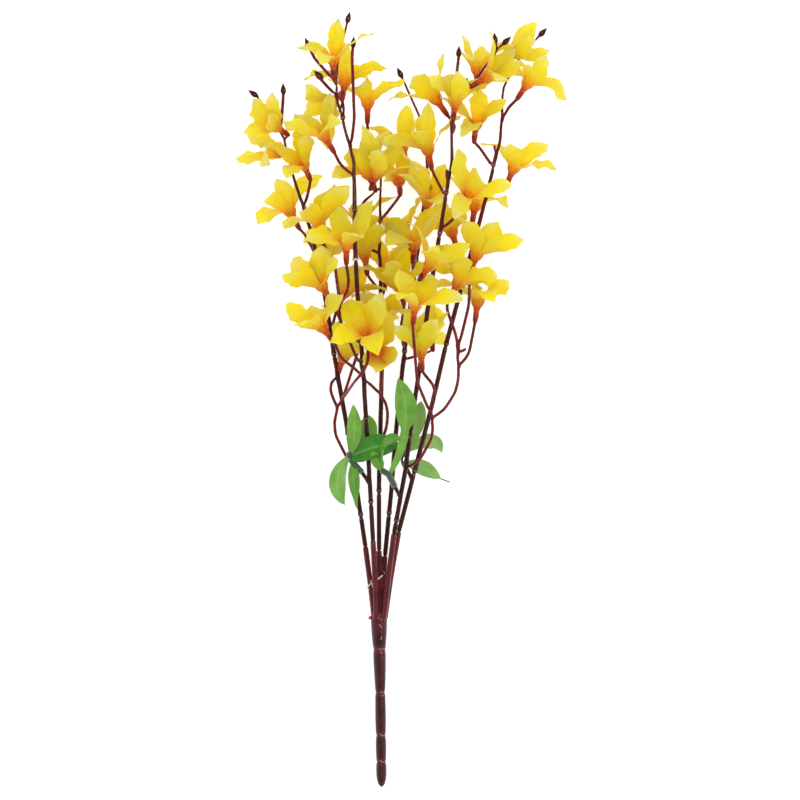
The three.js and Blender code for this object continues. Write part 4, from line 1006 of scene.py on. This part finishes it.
# %% The handle
ROD = [(788.4, 0.5), (787.4, 0.9), (786.6, 1.6), (784.5, 2.5), (781, 3.2), (777, 3.6), (771, 3.75),
       (766, 3.62), (764, 3.4), (762.8, 3.05), (761.5, 3.3), (759, 3.55), (752, 3.72), (745, 3.75),
       (740, 3.6), (737.6, 3.4), (736.2, 3.1), (734.8, 3.4), (732, 3.65), (722, 3.85), (708, 3.85),
       (698, 3.7), (695, 3.5), (693.2, 3.15), (691.4, 3.5), (688, 3.75), (674, 4.2), (662, 4.5),
       (655, 4.55), (652, 4.4), (650.2, 4.1), (648.4, 4.45), (645, 4.8), (634, 5.5), (621, 5.9)]
ROD_LINE = [(381.5, 790, 3.1), (381.2, 765, 3.3), (380.6, 720, 8), (380, 680, 12.4), (379.2, 640, 16.5),
            (378.8, 611, 19.4)]
ROD_TOP_ROW = 619
RING_ROWS = (650, 693, 736, 762.8)
NEAR_MIDDLE = 0.5
RUB_ROWS = 5
MOST_RUB = 0.5
HANDLE_VOXEL = 0.5 * MM
HANDLE_FATTER = 0.06 * MM

# %% Scraps and painted highlights on the handle
SPINDLE = [(0.0, 0.0), (0.02, 0.7), (0.35, 1.0), (0.75, 0.8), (0.95, 0.45), (1.0, 0.0)]
SPINDLE_STEPS = 10
# Each scrap is its start, its end, its radius in millimetres, and its tone.
FLASH = [
    ((366.2, 589, 22.4), (371.2, 583.2, 24.6), 0.45, 1.0),
    ((370.6, 580.5, 24.6), (373.3, 589.5, 24.2), 0.4, 1.0),
    ((376.6, 580.5, 28.6), (383.2, 575, 29.4), 0.62, 1.0),
    ((382.2, 616, 23.2), (384.4, 612.5, 23.6), 0.4, 1.0),
    ((384, 607.5, 26.2), (385.6, 604.6, 26.6), 0.4, 1.0),
    ((371.6, 617, 18.6), (368.6, 619.4, 18.2), 1.35, 0.5),
    ((381.5, 786.8, 3.1), (381.9, 790.6, 2.9), 0.4, 1.0),
]
# Pale flecks of painted highlight lie on the rings' skin, so only their two ends on the drawing are given.
PAINTED_GLINTS = [
    ((378.6, 649.4), (381.2, 650.6)), ((381.4, 648.9), (384, 649.9)), ((380, 652.4), (382.4, 654)),
    ((380.6, 692.4), (383, 693.6)), ((381.4, 697.2), (383.6, 695.6)),
    ((379.8, 734.6), (382.2, 736.8)), ((382.2, 736.8), (384.4, 736.2)),
    ((379.8, 760.8), (382, 763.2)), ((382, 763.2), (384.4, 762.8)),
    ((378.8, 624.6), (382.6, 628.8)), ((380.8, 640.4), (381.8, 636.2)), ((383.4, 571), (385, 574)),
]
GLINT_RADIUS_MM = 0.34
# The flecks' tone picks the pale pink of a painted highlight.
GLINT_TONE = 0.75
GLINT_REACH = 1.2 * MM


def on_top(points, column, row):
    """A place on the drawing, with the moulding's height there."""
    spot = at(column, row, 0)
    near = [p.z for p in points if abs(p.x - spot.x) + abs(p.y - spot.y) < GLINT_REACH]
    return column, row, max(near) / MM


def add_spindle(skin, start, end, radius, tone, layer):
    root, tip = at(*start), at(*end)
    length = (tip - root).length
    profile = [(share * length, part * radius * MM) for share, part in SPINDLE]
    for v in lathe(skin, profile, root, (tip - root).normalized(), SPINDLE_STEPS):
        v[layer] = tone


# %% The handle itself
def turn_rod(skin, rub):
    line = np.array([at(*place) for place in ROD_LINE])
    rows, radii = np.array(ROD)[::-1].T
    for v in skin.verts:
        row = FOOT_ROW - (v.co.y + MIDDLE.y) / SQUARE
        if row < ROD_TOP_ROW:
            continue
        centre = point_along(line, line[:, 1], v.co.y)
        ahead = (point_along(line, line[:, 1], v.co.y + 1 * MM) - centre).normalized()
        out = v.co - centre
        out -= ahead * out.dot(ahead)
        wanted = np.interp(row, rows, radii) * MM
        if out.length > NEAR_MIDDLE * wanted:
            v.co += out.normalized() * (wanted - out.length)
        v[rub] = MOST_RUB * max(0.0, 1 - min(abs(row - ring) for ring in RING_ROWS) / RUB_ROWS)
        v.co.z = max(v.co.z, 0.0)


def make_handle():
    skin = rounded("handle", HANDLE_VOXEL, push=HANDLE_FATTER)
    rub = skin.verts.layers.float.new("rub")
    flash_and_glint = skin.verts.layers.float.new("flash_and_glint")
    turn_rod(skin, rub)
    points = [v.co.copy() for v in skin.verts]
    for start, end, radius, tone in FLASH:
        add_spindle(skin, start, end, radius, tone, flash_and_glint)
    # The painted highlights on the rings.
    for start, end in PAINTED_GLINTS:
        add_spindle(skin, on_top(points, *start), on_top(points, *end), GLINT_RADIUS_MM, GLINT_TONE, flash_and_glint)
    return piece("handle_moulding", skin, "handle", HANDLE_PLASTIC)


made = make_handle()
print(made.name, len(made.data.polygons), "faces")

# %% [markdown]
# ## Leaf sprigs
#
# A leaf is a grid as well, bent along a curve from its root to its tip and folded along its midrib. Its
# sleeve is a short tube of dark green plastic that slips over a peg on the stem, as such bunches are put
# together by hand. An outline gives a leaf's width along its length, as shares of its widest place.

# %% Where the leaves are
OUTLINES = {
    "leaf": [
        (0.0, 0.16), (0.12, 0.42), (0.28, 0.8), (0.42, 0.97), (0.58, 1.0), (0.72, 0.86), (0.84, 0.6),
        (0.93, 0.3), (1.0, 0.0),
    ],
    "spoon": [
        (0.0, 0.16), (0.12, 0.28), (0.3, 0.4), (0.42, 0.42), (0.47, 0.36), (0.5, 0.45), (0.56, 0.8),
        (0.64, 0.95), (0.73, 1.0), (0.82, 0.86), (0.9, 0.58), (0.96, 0.28), (1.0, 0.0),
    ],
    "spear": [
        (0.0, 0.16), (0.12, 0.6), (0.28, 0.95), (0.42, 1.0), (0.58, 0.85), (0.72, 0.5), (0.84, 0.3),
        (0.93, 0.2), (1.0, 0.0),
    ],
    "broad": [
        (0.0, 0.4), (0.06, 0.7), (0.18, 0.92), (0.35, 1.0), (0.6, 0.96), (0.78, 0.78), (0.9, 0.45),
        (1.0, 0.0),
    ],
}
# "side" shifts a leaf's middle on the drawing, "bow" lifts it, and "face" is the way its upper side looks.
SPRIGS = {
    "leaf_sprig_1": {
        "sleeve": [(362, 472.5, 53), (356, 466, 56), (350, 459, 58), (349, 452, 60)],
        "leaves": [
            {"root": (-22.21, 239.08, 59.18), "tip": (345, 505, 58), "side": (-11, -2),
             "face": (0.1, 0.2, 0.9), "width": 12, "bow": 4, "deep": 0.2},
            {"root": (-20.3, 234.23, 57.3), "tip": (357, 509, 49), "side": (-2, 0),
             "face": (0.3, 0.1, 0.9), "width": 9, "bow": 2, "outline": "spear", "deep": 0.45},
            {"root": (-22.21, 239.08, 59.18), "tip": (353, 404, 66), "side": (4, -2),
             "face": (-0.2, 0, 0.9), "width": 11, "bow": 3, "deep": 0.3},
            {"root": (-21.77, 237.97, 58.75), "tip": (368, 415, 43), "side": (6, 2),
             "face": (0.2, 0, 0.9), "width": 15, "bow": 0, "deep": 0.3},
            {"root": (-21.86, 238.22, 58.85), "tip": (398, 443, 46), "side": (0, 0),
             "face": (0, 0.2, 0.9), "width": 17, "bow": 7, "outline": "broad", "deep": 0.9},
        ],
    },
    "leaf_sprig_2": {
        "sleeve": [(395, 487, 52), (392, 481, 54), (388, 474, 56), (381, 470, 57)],
        "leaves": [
            {"root": (5.36, 224.12, 55.5), "tip": (398, 378, 74), "side": (9.5, 0),
             "face": (0.25, 0, 0.9), "width": 16, "bow": 6, "outline": "spoon", "deep": 0.35},
            {"root": (0.9, 227.54, 56.75), "tip": (371, 452, 64), "side": (0, 0),
             "face": (0, 0.3, 0.9), "width": 9, "bow": 2, "deep": 0.3},
            {"root": (1.36, 227.2, 56.62), "tip": (402, 440, 76), "side": (3, 5),
             "face": (-0.7, 0.5, 0.5), "width": 11, "bow": 9.5, "deep": 0.5},
        ],
    },
    "leaf_sprig_3": {
        "sleeve": [(407, 469, 27), (404, 463, 25.5), (403, 457, 25), (405, 450, 24.5)],
        "thread": [(437, 477.5, 22.6), (442, 479.3, 21.5), (450, 482.3, 20)],
        "leaves": [
            {"root": (16.86, 233.41, 25.77), "tip": (441, 479, 22), "side": (0, 2),
             "face": (0, 0.2, 0.9), "width": 11, "bow": 2, "deep": 0.05},
            {"root": (17.0, 241.12, 24.65), "tip": (421, 401, 28), "side": (4, 3),
             "face": (-0.1, 0, 0.9), "width": 12, "bow": 3, "deep": 0.1},
            {"root": (16.88, 240.42, 24.71), "tip": (442, 453, 20), "side": (6, 13),
             "face": (0, -0.2, 0.9), "width": 11, "bow": 2, "deep": 0.0},
        ],
    },
}


# %% Making the sprigs
LEAF_ACROSS = 12
LEAF_ROWS = 30
LEAF_THICKNESS = 0.3 * MM
LEAF_FOLD = 0.36
LEAF_FOLD_POWER = 1.2
LEAF_RIPPLE = 0.13
LEAF_WAVES = 9
SLEEVE_RADIUS = 2.1 * MM
SLEEVE_SIDES = 12
THREAD_RADIUS = 0.32 * MM
THREAD_SIDES = 8
TUBE_ROWS = 14
TUBE_END = 0.04
FIRST_SPRIG_SEED = 70


def add_leaf(shape, leaf, deep_layer, rng):
    root = Vector(leaf["root"]) * MM - MIDDLE
    tip = at(*leaf["tip"])
    upper = Vector(leaf["face"]).normalized()
    bend = (root + tip) / 2 + upper * (2 * leaf["bow"] * MM)
    bend.x += 2 * leaf["side"][0] * SQUARE
    bend.y += 2 * leaf["side"][1] * SQUARE
    width = leaf["width"] * MM / 2
    shares, widths = np.array(OUTLINES[leaf.get("outline", "leaf")]).T
    wave = (rng.uniform(0, 6), rng.uniform(0, 6))
    grid = bmesh.ops.create_grid(shape, x_segments=LEAF_ACROSS, y_segments=LEAF_ROWS, size=1, calc_uvs=True)
    for v in grid["verts"]:
        across, share = v.co.x, (v.co.y + 1) / 2
        middle = root * (1 - share) ** 2 + bend * (2 * share * (1 - share)) + tip * share**2
        along = ((bend - root) * (1 - share) + (tip - bend) * share).normalized()
        aside = along.cross(upper).normalized()
        inward = aside.cross(along).normalized()
        half = width * np.interp(share, shares, widths)
        folded = LEAF_FOLD * abs(across) ** LEAF_FOLD_POWER * half
        phase = wave[0 if across > 0 else 1] + share * LEAF_WAVES
        ripple = math.sin(phase) * LEAF_RIPPLE * half * across * across
        v.co = middle + aside * (across * half) + inward * (folded + ripple)
        v[deep_layer] = leaf["deep"]


def add_tube(shape, places, radius, sides):
    """A grid wrapped round a line: its x goes round, its y goes along. Both ends close to a point."""
    line = np.array([at(*place) for place in places])
    walked = np.concatenate([[0], np.cumsum(np.linalg.norm(np.diff(line, axis=0), axis=1))])
    before = set(shape.verts)
    grid = bmesh.ops.create_grid(shape, x_segments=sides, y_segments=TUBE_ROWS, size=1, calc_uvs=True)
    for v in grid["verts"]:
        turn, share = math.pi * v.co.x, (v.co.y + 1) / 2
        way = np.clip((share - TUBE_END) / (1 - 2 * TUBE_END), 0, 1) * walked[-1]
        here, ahead, back = (point_along(line, walked, way + step) for step in (0, MM, -MM))
        along = (ahead - back).normalized()
        up = (Vector((0, 0, 1)) - along * along.z).normalized()
        side = along.cross(up)
        closed = 0.0 if share in (0.0, 1.0) else 1.0
        v.co = here + (up * math.cos(turn) + side * math.sin(turn)) * (radius * closed)
    fresh = [v for v in shape.verts if v not in before]
    bmesh.ops.remove_doubles(shape, verts=fresh, dist=FINE_WELD)
    return [v for v in shape.verts if v not in before]


def make_sprig(name, sprig, rng):
    shape = bmesh.new()
    shape.loops.layers.uv.new("leaf")
    deep = shape.verts.layers.float.new("deep")
    carrier = shape.verts.layers.float.new("sleeve")
    for leaf in sprig["leaves"]:
        add_leaf(shape, leaf, deep, rng)
    bmesh.ops.remove_doubles(shape, verts=shape.verts, dist=FINE_WELD)
    bmesh.ops.dissolve_degenerate(shape, edges=shape.edges, dist=SLIVER)
    sleeve = add_tube(shape, sprig["sleeve"], SLEEVE_RADIUS, SLEEVE_SIDES)
    if "thread" in sprig:
        sleeve += add_tube(shape, sprig["thread"], THREAD_RADIUS, THREAD_SIDES)
    sleeve_faces = {f for v in sleeve for f in v.link_faces}
    bmesh.ops.recalc_face_normals(shape, faces=list(sleeve_faces))
    for v in sleeve:
        v[carrier] = 1.0
    made = piece(f"{name}_cloth", shape, name, LEAF_CLOTH)
    give_wall(made, LEAF_THICKNESS)
    return made


for i, (name, sprig) in enumerate(SPRIGS.items()):
    made = make_sprig(name, sprig, random.Random(i + FIRST_SPRIG_SEED))
    print(made.name, len(made.data.polygons), "faces")

# %% [markdown]
# ## The room
#
# A pale floor, a sky that is bright all round and dimmer overhead, and four lamps, as in a packshot. Glossy
# plastic mirrors the dim part of the sky, so it keeps its colour. The large front lamp lights the cloth deep
# inside the bunch. It isn't mirrored, or it would lay a grey veil over the plastic. The small glint lamp does
# the opposite: it gives the plastic its sharp highlights and leaves the cloth alone. The camera looks
# straight down through a very long lens, so nothing that stands higher looks bigger.

# %% Floor, light and camera
WHITE = (1, 1, 1, 1)
FLOOR_GREY = (0.6, 0.6, 0.6, 1)
FLOOR_GLOW = 0.68
FLOOR_SIZE = 60
FLOOR_DROP = 0.2 * MM
GLOW_ROUND = 0.95
GLOW_OVERHEAD = 0.3
VIEW_WIDTH = 0.576
CAMERA_HEIGHT = 20.0
SHARP_HEIGHT = 0.06
SENSOR = 36.0


def make_floor():
    shape = bmesh.new()
    bmesh.ops.create_grid(shape, x_segments=1, y_segments=1, size=FLOOR_SIZE)
    material, _, shader = new_finish("floor_paper", Roughness=0.9)
    shader.inputs["Base Color"].default_value = FLOOR_GREY
    shader.inputs["Emission Color"].default_value = WHITE
    shader.inputs["Emission Strength"].default_value = FLOOR_GLOW
    made = put_shape("floor", shape)
    made.data.materials.append(material)
    made.location.z = -FLOOR_DROP


def make_lamp(name, place, size, watts, glints=False, mirrored=True):
    """An area lamp that looks at the bunch, and is seen by dull surfaces, by glossy ones, or by both."""
    lamp = bpy.data.lights.new(name, "AREA")
    lamp.shape = "SQUARE"
    lamp.size = size
    lamp.energy = watts
    made = put(name, lamp)
    made.location = place
    made.rotation_euler = Vector(place).to_track_quat("Z", "Y").to_euler()
    made.visible_diffuse = not glints
    made.visible_glossy = mirrored


def make_camera():
    data = bpy.data.cameras.new("camera")
    data.sensor_width = SENSOR
    data.lens = SENSOR * (CAMERA_HEIGHT - SHARP_HEIGHT) / VIEW_WIDTH
    data.clip_start = 1
    data.clip_end = 100
    made = put("camera", data)
    middle = at(400, 400, 0)
    made.location = (middle.x, middle.y, CAMERA_HEIGHT)
    bpy.context.scene.camera = made


def make_sky():
    world = bpy.data.worlds.new("sky")
    world.use_nodes = True
    tree = world.node_tree
    way = add(tree, "ShaderNodeTexCoord").outputs["Generated"]
    glow = spread(tree, split(tree, way)[2], 0.35, 0.95, GLOW_ROUND, GLOW_OVERHEAD)
    tree.nodes["Background"].inputs["Color"].default_value = WHITE
    feed(tree, tree.nodes["Background"].inputs["Strength"], glow)
    bpy.context.scene.world = world


make_floor()
make_lamp("key", place=(-0.9, 0.7, 1.6), size=0.35, watts=1.5)
make_lamp("fill", place=(1.0, -0.6, 1.4), size=0.3, watts=1.1)
make_lamp("glint", place=(0.45, 0.5, 2.0), size=0.12, watts=20, glints=True)
make_lamp("front", place=(0.1, 0.1, 2.2), size=1.0, watts=20, mirrored=False)
make_camera()
make_sky()
bpy.context.scene.view_settings.view_transform = "Standard"
print("lens", round(bpy.context.scene.camera.data.lens))
